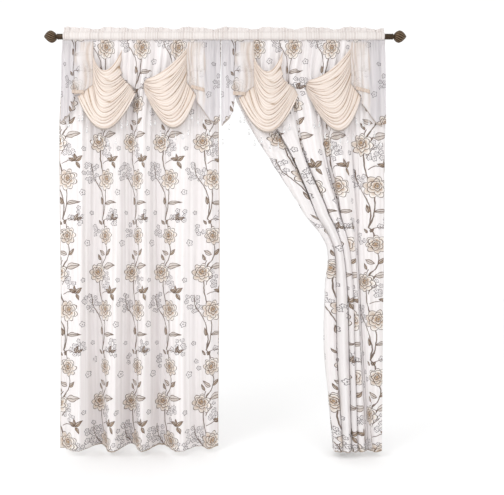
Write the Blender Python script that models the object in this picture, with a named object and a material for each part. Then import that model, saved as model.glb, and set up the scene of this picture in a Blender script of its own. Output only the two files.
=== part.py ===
# Pair of printed rod pocket curtains with attached swag valances, hung on a rod with ball finials.
# Frame: origin on the rod's axis midway between its ends, +X right, +Y towards the wall, +Z up. Metres.
# The left panel hangs straight. The right panel is swept back to the right and drops from its gather.

import math

import bmesh
import bpy
from mathutils import Vector
from mathutils.bvhtree import BVHTree

MM = 0.001

# Rod and finials
ROD_RADIUS = 0.014
ROD_LENGTH = 1.694
ROD_SIDES = 16
FINIAL_LENGTH = 0.073
BALL_RADIUS = 0.029
FINIAL_RIBS = 8
FINIAL_TWIST = 1.1

# Panels: a 1.37 m wide cloth gathered to about 0.80 m on the rod, 2.13 m from ruffle to hem
PANEL_LEFT_X = {"left": -0.824, "right": -0.018}
PANEL_HUNG_WIDTH = {"left": 0.803, "right": 0.829}
CLOTH_WIDTH = 1.372
RUFFLE_TOP_Z = 0.044
STITCH_Z = 0.0213
SEAM_Z = -0.0193
HEM_Z = -2.089
GATHERS = 22
STATIONS = 2 * GATHERS

# Cloth thicknesses and clearances
PANEL_THICKNESS = 0.002
VALANCE_THICKNESS = 0.0015
SEAM_GAP = 0.0003
LAYER_GAP = 0.003

# Depth of the panel's folds, measured each way from the rod's axis
GATHER_DEPTH_SEAM = 0.004
GATHER_DEPTH_OPEN = 0.008
FOLD_DEPTH_TOP = 0.004
FOLD_DEPTH_HEM = 0.058
SWEPT_DEPTH = 0.082
SWEPT_RIPPLE = 0.007

# The left panel's folds along the hem: place across the panel, and how far forward as a share of the depth
LEFT_FOLDS = (
    # across (mm), forward (share)
    (-15, -0.1),
    (84, 1.0),
    (173, -1.0),
    (264, 1.0),
    (341, -1.0),
    (412, 0.9),
    (483, -1.0),
    (595, 1.0),
    (696, -0.4),
    (746, 0.2),
    (790, -0.7),
)

# Heights at which a hung panel's cloth is laid out
LEFT_LEVELS = (-0.0196, -0.14, -0.28, -0.44, -0.65, -0.9, -1.2, -1.5, -1.8, HEM_Z)

# The right panel's valleys at each height, measured across from the panel's left edge at the rod
SWEPT_SECTIONS = (
    # height (m), swept edge, valley 1, valley 2, valley 3, valley 4, outer edge (mm)
    (-0.0196, 2, 165, 295, 445, 625, 829),
    (-0.19, 42, 182, 318, 462, 636, 829),
    (-0.367, 98, 225, 367, 509, 647, 827),
    (-0.626, 247, 362, 423, 535, 669, 822),
    (-0.911, 423, 476, 542, 595, 677, 819),
    (-1.069, 534, 560, 606, 640, 680, 817),
    (-1.287, 530, 575, 632, 660, 690, 814),
    (-1.591, 525, 580, 641, 667, 706, 810),
    (-1.871, 545, 595, 648, 676, 725, 807),
    (HEM_Z, 565, 608, 652, 682, 733, 804),
)

# The valance is laid out on the left panel, and stretches with the panel that carries it.
# Jabots: each row is one fold of the side piece
LEFT_JABOT = (
    # across (mm), lower edge (mm), forward fold (mm)
    (0, -443, 0),
    (18, -426, 6),
    (36, -407, -1),
    (59, -380, 5),
    (66, -304, 1),
    (96, -300, 4),
    (126, -276, -1),
    (158.35, -252, 0),
)
RIGHT_JABOT = (
    # across (mm), lower edge (mm), forward fold (mm)
    (631.15, -237.5, 0),
    (655, -266, -1),
    (680, -299, 4),
    (684, -339, 1),
    (706, -366, 5),
    (728, -398, -1),
    (750, -430, 6),
    (777, -444, 0),
    (800, -437, 4),
)

JABOT_ROWS = 8

# Swags: sections from the scooped top edge to the hanging lower edge, as places across and heights
LEFT_SWAG = (
    # share down, left end x z, middle x z, right end x z (mm)
    (0.00, (158.65, -103), (229, -184), (302, -68)),
    (0.10, (158.65, -120), (229, -207), (291, -139)),
    (0.25, (158.65, -149), (229, -250), (295, -209)),
    (0.50, (158.65, -200), (229, -322), (325, -235)),
    (0.75, (158.65, -253), (229, -398), (348, -256)),
    (1.00, (84, -309), (229, -469), (367, -286)),
)
RIGHT_SWAG = (
    # share down, left end x z, middle x z, right end x z (mm)
    (0.00, (428, -220), (528, -177), (630.85, -63)),
    (0.25, (422, -240), (533, -250), (630.85, -118)),
    (0.50, (419, -255), (536, -317), (630.85, -179)),
    (0.75, (421, -266), (544, -388), (630.85, -238.5)),
    (1.00, (424, -276), (564, -461), (680, -301)),
)
SWAG_FOLDS = 8
SWAG_COLUMNS = 12
SWAG_RIDGE = 0.007
PINCH_GAP = 0.0045
SWAG_BULGE = 0.042

# Gather bands: level ties that draw the jabots in, from one end to the other
LEFT_BAND = ((58, -288), (118, -291))
RIGHT_BAND = ((655, -262), (721, -281))
BAND_HEIGHT = 0.018
BAND_GAP = 0.0008

# Bead fringe: a narrow strip under each lower edge, with drop beads on threads of three lengths
STRIP_HEIGHT = 0.006
STRIP_THICKNESS = 0.0015
STRIP_END = 0.006
STRAND_PITCH = 0.046
STRAND_DROPS = (0.104, 0.062, 0.084)
THREAD_WIDTH = 0.003
BEAD_WIDTH = 0.013
BEAD_LENGTH = 0.028

COLOURS = {
    # name: (red, green, blue), roughness, metallic
    "bronze": ((0.075, 0.045, 0.028), 0.38, 0.9),
    "ivory_heading": ((0.88, 0.84, 0.78), 0.6, 0.0),
    "printed_cloth": ((0.86, 0.82, 0.80), 0.55, 0.0),
    "sheer_print": ((0.72, 0.68, 0.68), 0.6, 0.0),
    "cream_satin": ((0.90, 0.79, 0.66), 0.4, 0.0),
    "clear_bead": ((0.80, 0.82, 0.82), 0.15, 0.0),
}


def clear_scene():
    for item in list(bpy.data.objects):
        bpy.data.objects.remove(item, do_unlink=True)


def material(name):
    colour, roughness, metallic = COLOURS[name]
    made = bpy.data.materials.get(name) or bpy.data.materials.new(name)
    made.use_nodes = True
    shader = made.node_tree.nodes["Principled BSDF"]
    shader.inputs["Base Color"].default_value = (*colour, 1.0)
    shader.inputs["Roughness"].default_value = roughness
    shader.inputs["Metallic"].default_value = metallic
    return made


def finish(name, mesh_data, finish_name, smooth_angle=None):
    """Turns a bmesh into the object of one piece, with its faces pointing out."""
    bmesh.ops.recalc_face_normals(mesh_data, faces=mesh_data.faces[:])
    mesh = bpy.data.meshes.new(name)
    mesh_data.to_mesh(mesh)
    mesh_data.free()
    if smooth_angle is not None:
        mesh.shade_smooth()
        mesh.set_sharp_from_angle(angle=smooth_angle)
    mesh.materials.append(material(finish_name))
    piece = bpy.data.objects.new(name, mesh)
    bpy.context.scene.collection.objects.link(piece)
    return piece


def smooth(share):
    share = min(max(share, 0.0), 1.0)
    return share * share * (3 - 2 * share)


def lerp(start, end, share):
    return start + (end - start) * share


def along_table(rows, place):
    """Reads a table whose first column rises from 0 to 1, or falls, at a place between its rows."""
    for upper, lower in zip(rows, rows[1:]):
        inside = min(upper[0], lower[0]) <= place <= max(upper[0], lower[0])
        if inside:
            return upper, lower, (place - upper[0]) / (lower[0] - upper[0])
    return rows[-2], rows[-1], 1.0


def grid_points(columns, rows, place):
    """Points of a cloth laid out as rows of columns; place gives a point from the two counts."""
    return [[place(column, row) for column in range(columns + 1)] for row in range(rows + 1)]


def steepness(points, row, column):
    """How much deeper than its thickness a slanting cloth is, measured straight back."""
    width = len(points[0]) - 1
    height = len(points) - 1
    left = points[row][max(column - 1, 0)]
    right = points[row][min(column + 1, width)]
    above = points[max(row - 1, 0)][column]
    below = points[min(row + 1, height)][column]
    across = (right.y - left.y) / max((right - left).length, 1e-6)
    down = (below.y - above.y) / max((below - above).length, 1e-6)
    return 1 / math.sqrt(max(1 - across * across - down * down, 0.2))


def sheet(name, points, thickness, finish_name):
    """A closed sheet of cloth on the given points, thickened straight forward and back."""
    rows = len(points) - 1
    columns = len(points[0]) - 1
    cloth = bmesh.new()
    bmesh.ops.create_grid(cloth, x_segments=columns, y_segments=rows, size=0.5)
    half = cloth.verts.layers.float.new("half thickness")
    for vert in cloth.verts:
        column = round((vert.co.x + 0.5) * columns)
        row = round((0.5 - vert.co.y) * rows)
        vert[half] = thickness / 2 * steepness(points, row, column)
        vert.co = points[row][column]
    front = cloth.verts[:]
    back = bmesh.ops.extrude_face_region(cloth, geom=cloth.faces[:], use_keep_orig=True)
    for vert in front:
        vert.co.y -= vert[half]
    for item in back["geom"]:
        if isinstance(item, bmesh.types.BMVert):
            item.co.y += item[half]
    return finish(name, cloth, finish_name, math.radians(50))


def surface_of(*pieces):
    """Trees of the pieces' faces, to find how far forward they come."""
    trees = []
    for piece in pieces:
        mesh = piece.data
        corners = [vert.co for vert in mesh.vertices]
        faces = [tuple(face.vertices) for face in mesh.polygons]
        trees.append(BVHTree.FromPolygons(corners, faces))
    return trees


def front_at(trees, x, z, reach=0.010):
    """The most forward y of the pieces at and just beside a place, or None where there is none."""
    found = []
    for tree in trees:
        for side in (-reach, -reach / 2, 0.0, reach / 2, reach):
            hit = tree.ray_cast(Vector((x + side, -1.0, z)), Vector((0.0, 1.0, 0.0)))[0]
            if hit is not None:
                found.append(hit.y)
    return min(found) if found else None


def in_front(trees, x, z, y, gap):
    """The place y, brought forward where the pieces behind would come nearer than the gap."""
    front = front_at(trees, x, z)
    return y if front is None else min(y, front - gap)


def gather(station):
    """Uneven small gathers of the heading: one ridge or valley for each station."""
    turn = 1 if station % 2 else -1
    return turn * (0.72 + 0.28 * math.sin(2.4 * station))


def station_share(station):
    """Stations crowd a little here and there, as gathers on a rod do."""
    if station in (0, STATIONS):
        return station / STATIONS
    return (station + 0.32 * math.sin(1.9 * station)) / STATIONS


def make_rod():
    rod = bmesh.new()
    bmesh.ops.create_circle(rod, cap_ends=True, segments=ROD_SIDES, radius=ROD_RADIUS)
    turn = math.pi / ROD_SIDES
    for vert in rod.verts:
        angle = math.atan2(vert.co.y, vert.co.x) + turn
        vert.co = Vector((-ROD_LENGTH / 2, ROD_RADIUS * math.cos(angle), ROD_RADIUS * math.sin(angle)))
    end = bmesh.ops.extrude_face_region(rod, geom=rod.faces[:], use_keep_orig=True)
    for item in end["geom"]:
        if isinstance(item, bmesh.types.BMVert):
            item.co.x += ROD_LENGTH
    return finish("rod", rod, "bronze", math.radians(30))


def make_finial(name, side):
    """A ball with twisted ribs on a short neck; side is -1 on the left and 1 on the right."""
    neck = 0.0105
    profile = (
        # distance from the rod's end, radius (m)
        (SEAM_GAP, 0.0),
        (SEAM_GAP, 0.0145),
        (0.0045, 0.0145),
        (0.0065, neck),
        (0.0095, neck),
        (0.0150, 0.62 * BALL_RADIUS),
        (0.0230, 0.86 * BALL_RADIUS),
        (0.0340, BALL_RADIUS),
        (0.0450, 0.97 * BALL_RADIUS),
        (0.0560, 0.80 * BALL_RADIUS),
        (0.0650, 0.50 * BALL_RADIUS),
        (0.0705, 0.20 * BALL_RADIUS),
        (FINIAL_LENGTH, 0.0),
    )
    ball = bmesh.new()
    line = [ball.verts.new((out, radius, 0.0)) for out, radius in profile]
    for start, end in zip(line, line[1:]):
        ball.edges.new((start, end))
    bmesh.ops.spin(
        ball,
        geom=ball.verts[:] + ball.edges[:],
        cent=(0, 0, 0),
        axis=(1, 0, 0),
        angle=2 * math.pi,
        steps=2 * FINIAL_RIBS,
        use_merge=True,
    )
    bmesh.ops.remove_doubles(ball, verts=ball.verts[:], dist=1e-6)
    for vert in ball.verts:
        out = vert.co.x
        radius = math.hypot(vert.co.y, vert.co.z)
        rib = smooth((out - 0.0095) / 0.010) * smooth((FINIAL_LENGTH - out) / 0.012)
        angle = math.atan2(vert.co.z, vert.co.y)
        ridge = math.cos(FINIAL_RIBS * angle)
        radius *= 1 + 0.09 * rib * (ridge - 1) / 2
        angle += FINIAL_TWIST * rib * (out / FINIAL_LENGTH - 0.5)
        place = side * (ROD_LENGTH / 2 + out)
        vert.co = Vector((place, radius * math.cos(angle), radius * math.sin(angle)))
    return finish(name, ball, "bronze", math.radians(40))


def header_section(station):
    """The outer and inner outlines of the rod pocket and ruffle at one station, as (y, z) pairs."""
    pucker = 0.0012 * gather(station)
    sway = 0.0050 * gather(station) + 0.0015 * math.sin(0.7 * station)
    top = RUFFLE_TOP_Z + 0.004 * math.sin(0.55 * station) + 0.003 * math.sin(1.27 * station + 1)
    outer = (
        (-0.0110 - pucker, SEAM_Z),
        (-0.0205 - pucker, 0.0),
        (-0.0115 - pucker, 0.0170),
        (-0.0030 - pucker, STITCH_Z),
        (-0.0020 + sway, top),
        (0.0020 + sway, top),
        (0.0030 - pucker, STITCH_Z),
        (0.0115 - pucker, 0.0170),
        (0.0205 - pucker, 0.0),
        (0.0110 - pucker, SEAM_Z),
    )
    inner = (
        (-0.0090, -0.0163),
        (-0.0175, 0.0),
        (-0.0085, ROD_RADIUS + SEAM_GAP),
        (0.0085, ROD_RADIUS + SEAM_GAP),
        (0.0175, 0.0),
        (0.0090, -0.0163),
    )
    return outer, inner


def make_header(side):
    """Ruffle and rod pocket in one plain cloth, open at both ends for the rod."""
    left_x, width = PANEL_LEFT_X[side], PANEL_HUNG_WIDTH[side]
    casing = bmesh.new()
    ends = {0: [], STATIONS: []}
    for part in (0, 1):
        count = len(header_section(0)[part])
        made = bmesh.ops.create_grid(casing, x_segments=count, y_segments=STATIONS, size=0.5)
        for vert in made["verts"]:
            corner = round((vert.co.x + 0.5) * count) % count
            station = round((0.5 - vert.co.y) * STATIONS)
            y, z = header_section(station)[part][corner]
            vert.co = Vector((left_x + width * station_share(station), y, z))
        bmesh.ops.remove_doubles(casing, verts=made["verts"], dist=1e-6)
    for edge in casing.edges:
        if edge.is_boundary:
            first_end = edge.verts[0].co.x < left_x + width / 2
            ends[0 if first_end else STATIONS].append(edge)
    for outlines in ends.values():
        bmesh.ops.triangle_fill(casing, edges=outlines, normal=(1, 0, 0))
    return finish(f"header_{side}", casing, "ivory_heading", math.radians(60))


def fold_shares():
    """Shares of the cloth's width at which the left panel's folds turn, from their lengths at the hem."""
    lengths = [0.0]
    for (x0, f0), (x1, f1) in zip(LEFT_FOLDS, LEFT_FOLDS[1:]):
        lengths.append(lengths[-1] + math.hypot((x1 - x0) * MM, (f1 - f0) * FOLD_DEPTH_HEM))
    return [length / lengths[-1] for length in lengths]


def fold_depth(z):
    """Depth of the main folds at a height: small at the rod, full at the hem."""
    drop = (z - SEAM_Z) / (HEM_Z - SEAM_Z)
    growth = 0.25 * smooth(drop / 0.3) + 0.75 * max(drop, 0.0) ** 1.2
    return lerp(FOLD_DEPTH_TOP, FOLD_DEPTH_HEM, growth)


def gather_depth(z):
    """The heading's small gathers open just below the rod and fade into the main folds."""
    below = SEAM_Z - z
    opened = lerp(GATHER_DEPTH_SEAM, GATHER_DEPTH_OPEN, smooth(below / 0.10))
    return opened * (1 - smooth((below - 0.10) / 0.60))


def left_panel_point(station, level):
    z = LEFT_LEVELS[level]
    share = station_share(station)
    turns = fold_shares()
    fold = max(index for index, turn in enumerate(turns[:-1]) if turn <= share + 1e-9)
    part = (share - turns[fold]) / (turns[fold + 1] - turns[fold])
    (x0, f0), (x1, f1) = LEFT_FOLDS[fold], LEFT_FOLDS[fold + 1]
    hem_x = lerp(x0, x1, part) * MM
    forward = lerp(f0, f1, smooth(part))
    settled = smooth((SEAM_Z - z) / 0.45)
    x = lerp(PANEL_HUNG_WIDTH["left"] * share, hem_x, settled)
    y = -fold_depth(z) * forward * smooth((SEAM_Z - z) / 0.12) - gather_depth(z) * gather(station)
    return Vector((PANEL_LEFT_X["left"] + x, y, z))


def right_panel_point(station, level):
    row = SWEPT_SECTIONS[level]
    z = row[0]
    valleys = row[1:]
    bands = len(valleys) - 1
    share = station_share(station) * bands
    band = min(int(share), bands - 1)
    part = share - band
    x0, x1 = valleys[band] * MM, valleys[band + 1] * MM
    top_x = PANEL_HUNG_WIDTH["right"] * station_share(station)
    settled = smooth((SEAM_Z - z) / 0.30)
    x = lerp(top_x, lerp(x0, x1, part), settled)
    crowding = 1 - (x1 - x0) / (CLOTH_WIDTH / bands)
    ridge = math.sin(math.pi * part) ** 1.5 - 0.5
    growth = smooth((SEAM_Z - z) / 0.85)
    ripple = SWEPT_RIPPLE * math.sin(5 * math.pi * part) * growth
    y = -2 * SWEPT_DEPTH * crowding * ridge * (0.14 * settled + 0.66 * growth) - ripple
    return Vector((PANEL_LEFT_X["right"] + x, y - gather_depth(z) * gather(station), z))


def make_drop(side):
    """The printed cloth below the heading, straight on the left and swept back on the right."""
    point, levels = {
        "left": (left_panel_point, len(LEFT_LEVELS) - 1),
        "right": (right_panel_point, len(SWEPT_SECTIONS) - 1),
    }[side]
    return sheet(f"drop_{side}", grid_points(STATIONS, levels, point), PANEL_THICKNESS, "printed_cloth")


def valance_depth(z):
    """How far forward of the rod's axis the valance's side pieces hang."""
    below = SEAM_Z - z
    return 0.0085 + 0.012 * smooth(below / 0.10) + 0.014 * smooth(below / 0.45)


def on_panel(side, across, height):
    """A place on a panel's valance, from millimetres laid out on the left panel, as x and z."""
    stretch = PANEL_HUNG_WIDTH[side] / PANEL_HUNG_WIDTH["left"]
    x = PANEL_LEFT_X[side] + across * MM * stretch
    return x, SEAM_Z + (height * MM - SEAM_Z) * stretch


def make_jabot(name, side, folds, behind):
    """A side piece of the valance, folded down its length, with a stepped and slanting lower edge."""

    def point(column, row):
        across, lower, forward = folds[column]
        x, lower_z = on_panel(side, across, lower)
        z = lerp(SEAM_Z - SEAM_GAP, lower_z, row / JABOT_ROWS)
        fold = forward * MM * smooth((SEAM_Z - z) / 0.10)
        y = -valance_depth(z) - fold
        if row:
            y = in_front(behind, x, z, y, LAYER_GAP)
        return Vector((x, y, z))

    points = grid_points(len(folds) - 1, JABOT_ROWS, point)
    return sheet(name, points, VALANCE_THICKNESS, "sheer_print"), points


def swag_point(side, sections, across, down):
    """A point of the swag without its depth: each fold is a curve through its two ends and its lowest place."""
    upper, lower, part = along_table(sections, down)
    ends = []
    for place in (1, 2, 3):
        ends.append(Vector(upper[place]).lerp(Vector(lower[place]), part))
    left, middle, right = ends
    control = 2 * middle - (left + right) / 2
    flat = left.lerp(control, across).lerp(control.lerp(right, across), across)
    x, z = on_panel(side, flat.x, flat.y)
    return Vector((x, 0.0, z))


def make_swag(name, side, sections, behind, seam):
    """Nested hanging folds of satin between a seam on the side piece, at 0 or 1, and a gather on the panel."""
    rows = 2 * SWAG_FOLDS

    def point(column, row):
        across = column / SWAG_COLUMNS
        down = row / rows
        down += 0.012 * math.sin(4 * math.pi * down)
        place = swag_point(side, sections, across, down)
        loose = math.sin(math.pi * across)
        hang = loose * SWAG_BULGE * (0.35 + 0.65 * math.sin(math.pi * (0.1 + 0.75 * down)))
        turn = 1 if row % 2 else -1
        ridge = turn * SWAG_RIDGE * loose**0.6 * (0.75 + 0.25 * math.sin(3.1 * row))
        at_seam = abs(across - seam)
        start = valance_depth(place.z) - 0.006 * smooth(at_seam)
        y = -start - hang - ridge
        if column in (0, SWAG_COLUMNS):
            if at_seam > 0.5:
                y = in_front(behind, place.x, place.z, 0.0, PINCH_GAP)
        else:
            y = in_front(behind, place.x, place.z, y, LAYER_GAP)
        return Vector((place.x, y, place.z))

    points = grid_points(SWAG_COLUMNS, rows, point)
    return sheet(name, points, VALANCE_THICKNESS, "cream_satin"), points


def make_band(name, side, ends, behind):
    """A narrow gathered tie lying across the side piece and the swag's first folds."""
    (x0, z0), (x1, z1) = ends
    columns, rows = 6, 2

    def point(column, row):
        across = column / columns
        x, z = on_panel(side, lerp(x0, x1, across), lerp(z0, z1, across))
        z += BAND_HEIGHT * (0.5 - row / rows)
        front = front_at(behind, x, z)
        return Vector((x, front - BAND_GAP - VALANCE_THICKNESS / 2 - 0.001 * (row == 1), z))

    return sheet(name, grid_points(columns, rows, point), VALANCE_THICKNESS, "cream_satin")


def edge_place(edge, x):
    """The point at x on a lower edge given as points running left to right."""
    for start, end in zip(edge, edge[1:]):
        if start.x <= x <= end.x:
            return start.lerp(end, (x - start.x) / (end.x - start.x))
    return edge[-1] if x > edge[-1].x else edge[0]


def make_fringe(name, edge, strands):
    """A strip along a lower edge, its underside drawn out into threads that end in drop beads."""
    first, last = strands[0][0] - STRIP_END, strands[-1][0] + STRIP_END
    xs = {first: None, last: None}
    for point in edge:
        if first < point.x < last:
            xs[point.x] = None
    for x, drop in strands:
        xs[x - THREAD_WIDTH / 2] = drop
        xs[x + THREAD_WIDTH / 2] = None
    stations = sorted(xs)
    columns = len(stations) - 1
    strip = bmesh.new()
    bmesh.ops.create_cube(strip, size=1.0)
    lengthwise = [line for line in strip.edges if abs(line.verts[0].co.x - line.verts[1].co.x) > 0.5]
    bmesh.ops.subdivide_edges(strip, edges=lengthwise, cuts=columns - 1, use_grid_fill=True)
    for vert in strip.verts:
        x = stations[round((vert.co.x + 0.5) * columns)]
        place = edge_place(edge, x)
        lower = vert.co.z < 0
        y = place.y + STRIP_THICKNESS * (0.5 if vert.co.y > 0 else -0.5)
        z = place.z - 0.0008 - (STRIP_HEIGHT if lower else 0.0)
        vert.co = Vector((x, y, z))
    strip.normal_update()
    strip.faces.ensure_lookup_table()
    roots = []
    for face in strip.faces:
        if face.normal.z < -0.3 and abs(face.normal.x) < 0.95:
            start = min(vert.co.x for vert in face.verts)
            drop = next((xs[x] for x in stations if abs(x - start) < 1e-7), None)
            if drop:
                roots.append((face, drop))
    for face, drop in roots:
        top = face.calc_center_median().z
        steps = (
            # share of the bead's width, drop below the strip
            (0.22, drop - BEAD_LENGTH),
            (1.0, drop - 0.35 * BEAD_LENGTH),
            (0.25, drop),
        )
        for width, down in steps:
            made = bmesh.ops.extrude_discrete_faces(strip, faces=[face])
            face = made["faces"][0]
            centre = face.calc_center_median()
            for vert in face.verts:
                away = vert.co - centre
                side = Vector((math.copysign(1, away.x), math.copysign(1, away.y), 0.0))
                vert.co = centre + side * (width * BEAD_WIDTH / 2)
                vert.co.z = top - down
    return finish(name, strip, "clear_bead")


def strand_places(edge, start, end):
    """Strands at an even pitch along the lower edge between two places across, with their drops."""
    places = []
    count = 0
    travelled = 0.0
    step = 0.002
    x = start
    before = edge_place(edge, x)
    while x < end:
        clear_of_corners = all(abs(corner.x - x) > THREAD_WIDTH for corner in edge)
        if travelled >= count * STRAND_PITCH and clear_of_corners:
            places.append((x, STRAND_DROPS[count % len(STRAND_DROPS)]))
            count += 1
        x += step
        here = edge_place(edge, x)
        travelled += (here - before).length
        before = here
    return places


def make_panel(side):
    """One curtain: heading, printed drop, and the valance sewn on in front of it."""
    make_header(side)
    drop = make_drop(side)
    behind = surface_of(drop)
    jabot_1, jabot_1_points = make_jabot(f"jabot_{side}_1", side, LEFT_JABOT, behind)
    jabot_2, jabot_2_points = make_jabot(f"jabot_{side}_2", side, RIGHT_JABOT, behind)
    swag_1, swag_1_points = make_swag(f"swag_{side}_1", side, LEFT_SWAG, behind, 0.0)
    swag_2, swag_2_points = make_swag(f"swag_{side}_2", side, RIGHT_SWAG, behind, 1.0)
    make_band(f"band_{side}_1", side, LEFT_BAND, surface_of(jabot_1, swag_1))
    make_band(f"band_{side}_2", side, RIGHT_BAND, surface_of(jabot_2, swag_2))
    trims = (
        # lower edge, first and last strand across (mm)
        (jabot_1_points[-1][:4], 8, 58),
        (swag_1_points[-1], 92, 345),
        (swag_2_points[-1], 452, 668),
        (jabot_2_points[-1][3:], 690, 794),
    )
    for count, (edge, first, last) in enumerate(trims, 1):
        start, end = on_panel(side, first, 0)[0], on_panel(side, last, 0)[0]
        make_fringe(f"fringe_{side}_{count}", edge, strand_places(edge, start, end))


clear_scene()
make_rod()
make_finial("finial_left", -1)
make_finial("finial_right", 1)
make_panel("left")
make_panel("right")
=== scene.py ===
# Pair of printed rod pocket curtains with attached swag valances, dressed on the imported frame.
# Metres, +X right, +Y towards the wall, +Z up, origin on the rod's axis.
import bisect
import functools
import math

import bmesh
import bpy
from mathutils import Matrix, Vector
from mathutils.bvhtree import BVHTree


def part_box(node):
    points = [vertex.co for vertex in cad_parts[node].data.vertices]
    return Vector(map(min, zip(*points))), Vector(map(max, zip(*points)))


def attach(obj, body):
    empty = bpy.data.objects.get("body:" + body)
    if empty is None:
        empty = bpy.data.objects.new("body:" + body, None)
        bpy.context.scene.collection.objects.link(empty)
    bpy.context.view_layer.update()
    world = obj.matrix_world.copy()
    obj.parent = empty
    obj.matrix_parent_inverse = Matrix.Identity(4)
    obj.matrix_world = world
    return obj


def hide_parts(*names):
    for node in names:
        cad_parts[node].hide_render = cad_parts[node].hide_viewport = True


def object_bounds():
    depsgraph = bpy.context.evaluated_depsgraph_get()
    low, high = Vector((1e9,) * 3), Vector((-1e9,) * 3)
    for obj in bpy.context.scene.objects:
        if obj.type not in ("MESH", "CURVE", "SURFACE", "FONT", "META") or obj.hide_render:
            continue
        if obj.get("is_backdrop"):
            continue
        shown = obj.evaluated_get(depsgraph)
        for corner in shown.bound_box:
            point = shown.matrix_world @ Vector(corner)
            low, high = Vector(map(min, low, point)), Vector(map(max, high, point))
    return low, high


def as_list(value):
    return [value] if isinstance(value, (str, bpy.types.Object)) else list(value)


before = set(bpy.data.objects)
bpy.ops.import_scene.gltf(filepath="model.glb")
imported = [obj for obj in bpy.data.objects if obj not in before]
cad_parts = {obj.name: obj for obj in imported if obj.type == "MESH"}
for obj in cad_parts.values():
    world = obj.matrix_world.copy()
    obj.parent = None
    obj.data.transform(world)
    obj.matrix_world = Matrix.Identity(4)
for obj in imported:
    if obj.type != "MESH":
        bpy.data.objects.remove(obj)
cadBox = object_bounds()
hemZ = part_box("drop_right")[0].z
mm = 0.001
print("frame loaded:", len(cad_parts), "nodes")


def smooth(share):
    share = min(max(share, 0.0), 1.0)
    return share * share * (3 - 2 * share)


def mix(start, end, share):
    return start + (end - start) * share


def curveThrough(values, index, part):
    # a value on the smooth curve through the listed values, part of the way from one to the next
    last = len(values) - 1
    before, start = values[max(index - 1, 0)], values[index]
    end, after = values[min(index + 1, last)], values[min(index + 2, last)]
    slopes = (end - before) / 2, (after - start) / 2
    square, cube = part * part, part * part * part
    return (
        (2 * cube - 3 * square + 1) * start
        + (cube - 2 * square + part) * slopes[0]
        + (3 * square - 2 * cube) * end
        + (cube - square) * slopes[1]
    )


# Shader helpers


def hexColour(code):
    # sRGB hex to the linear values that sockets hold
    parts = [int(code[place:place + 2], 16) / 255 for place in (0, 2, 4)]
    linear = [part / 12.92 if part <= 0.04045 else ((part + 0.055) / 1.055) ** 2.4 for part in parts]
    return (*linear, 1.0)


def addNode(tree, kind, *inputs, output=0, named=None, **settings):
    # kind is a shader node's name, with its operation after a point where it has one
    family, _, operation = kind.partition(".")
    node = tree.nodes.new("ShaderNode" + family)
    if operation:
        node.operation = operation
    for key, value in settings.items():
        setattr(node, key, value)
    for key, value in [*enumerate(inputs), *(named or {}).items()]:
        if isinstance(value, bpy.types.NodeSocket):
            tree.links.new(value, node.inputs[key])
        elif value is not None:
            node.inputs[key].default_value = value
    return node.outputs[output] if node.outputs else node


def newGroup(name, inputs, outputs):
    tree = bpy.data.node_groups.new(name, "ShaderNodeTree")
    for direction, sockets in (("INPUT", inputs), ("OUTPUT", outputs)):
        for label, kind in sockets.items():
            tree.interface.new_socket(label, in_out=direction, socket_type="NodeSocket" + kind)
    return tree, tree.nodes.new("NodeGroupInput").outputs, tree.nodes.new("NodeGroupOutput").inputs


# The floral print is one repeat, charted on the flat cloth. Vine trails run down it, with peonies, leaves,
# sprays of small blossom and loose florets. Across and down are millimetres in the repeat.

printRepeat = {
    "across": 315, "down": 665,
    "widening": 1.4,         # motifs are drawn wide, to look round once the cloth is gathered
    "inkWidth": 3.2, "wander": 8.0, "wanderScale": 34,
    "firstRow": -0.536,      # height of the first row of peonies on the hung panels (m)
    "hemBorder": 0.042,      # height of the small blossom along the hem (m)
    "hemEdge": 0.004,        # height of the overlocked edge (m)
}

blossomPlan = {
    # the small florets that are scattered over the sprays and along the hem
    "cell": 24,              # room for each one (mm)
    "radius": 0.44,          # its radius (share of that room)
    "scatter": 0.75,         # how far it strays from an even grid
    "line": 0.15,            # its outline (share of its radius)
}

bloomChart = (
    # across, down, turn (degrees), radius
    (-75, 0, 20, 49),
    (0, 190, -35, 54),
    (2, 474, 75, 46),
)

leafChart = (
    # across, down, direction (degrees), length, half width (share of length), bend, brown tone
    (-14, -30, 8, 80, 0.20, 0.04, 0.45),
    (-52, -64, 118, 38, 0.20, 0.05, 0.85),
    (62, 100, 38, 46, 0.22, 0.05, 1.00),
    (60, 98, 158, 42, 0.22, -0.05, 0.95),
    (64, 102, -62, 40, 0.22, 0.03, 1.00),
    (60, 96, 96, 38, 0.20, 0.02, 0.90),
    (-14, 312, 4, 84, 0.12, 0.03, 0.45),
    (-44, 318, 100, 44, 0.20, -0.04, 0.90),
    (58, 398, 66, 42, 0.20, 0.04, 0.80),
    (70, 396, 22, 36, 0.20, 0.04, 0.70),
    (-46, 418, 128, 32, 0.22, 0.02, 0.70),
    (-34, 416, 58, 30, 0.22, 0.02, 0.70),
    (-10, 572, 150, 48, 0.24, 0.05, 0.45),
    (6, 574, 44, 50, 0.20, -0.04, 0.95),
)

trailChart = (
    # start across, down, end across, down, bend (share of length), width
    (-44, -14, -40, 148, -0.10, 6.0),
    (-40, 148, -8, 160, 0.05, 5.0),
    (-8, 236, -41, 392, 0.06, 5.4),
    (-112, 182, -41, 392, 0.13, 4.8),
    (-41, 388, -14, 440, 0.10, 5.4),
    (2, 512, -20, 606, 0.16, 5.4),
    (-20, 606, -46, 656, -0.10, 6.8),
    (-12, -30, -46, -2, 0.10, 6.8),
    (-42, 108, 62, 100, 0.14, 3.6),
    (-46, 60, 8, 12, 0.12, 3.2),
    (-38, 404, 62, 398, 0.16, 3.4),
    (-112, 182, -128, 108, 0.06, 3.2),
    (-54, 32, -44, -66, 0.10, 4.2),
)

sprayChart = (
    # across, down, half width, half height
    (-130, 150, 46, 52),
    (6, 34, 34, 46),
    (84, 374, 34, 46),
    (-96, 452, 20, 34),
)

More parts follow.
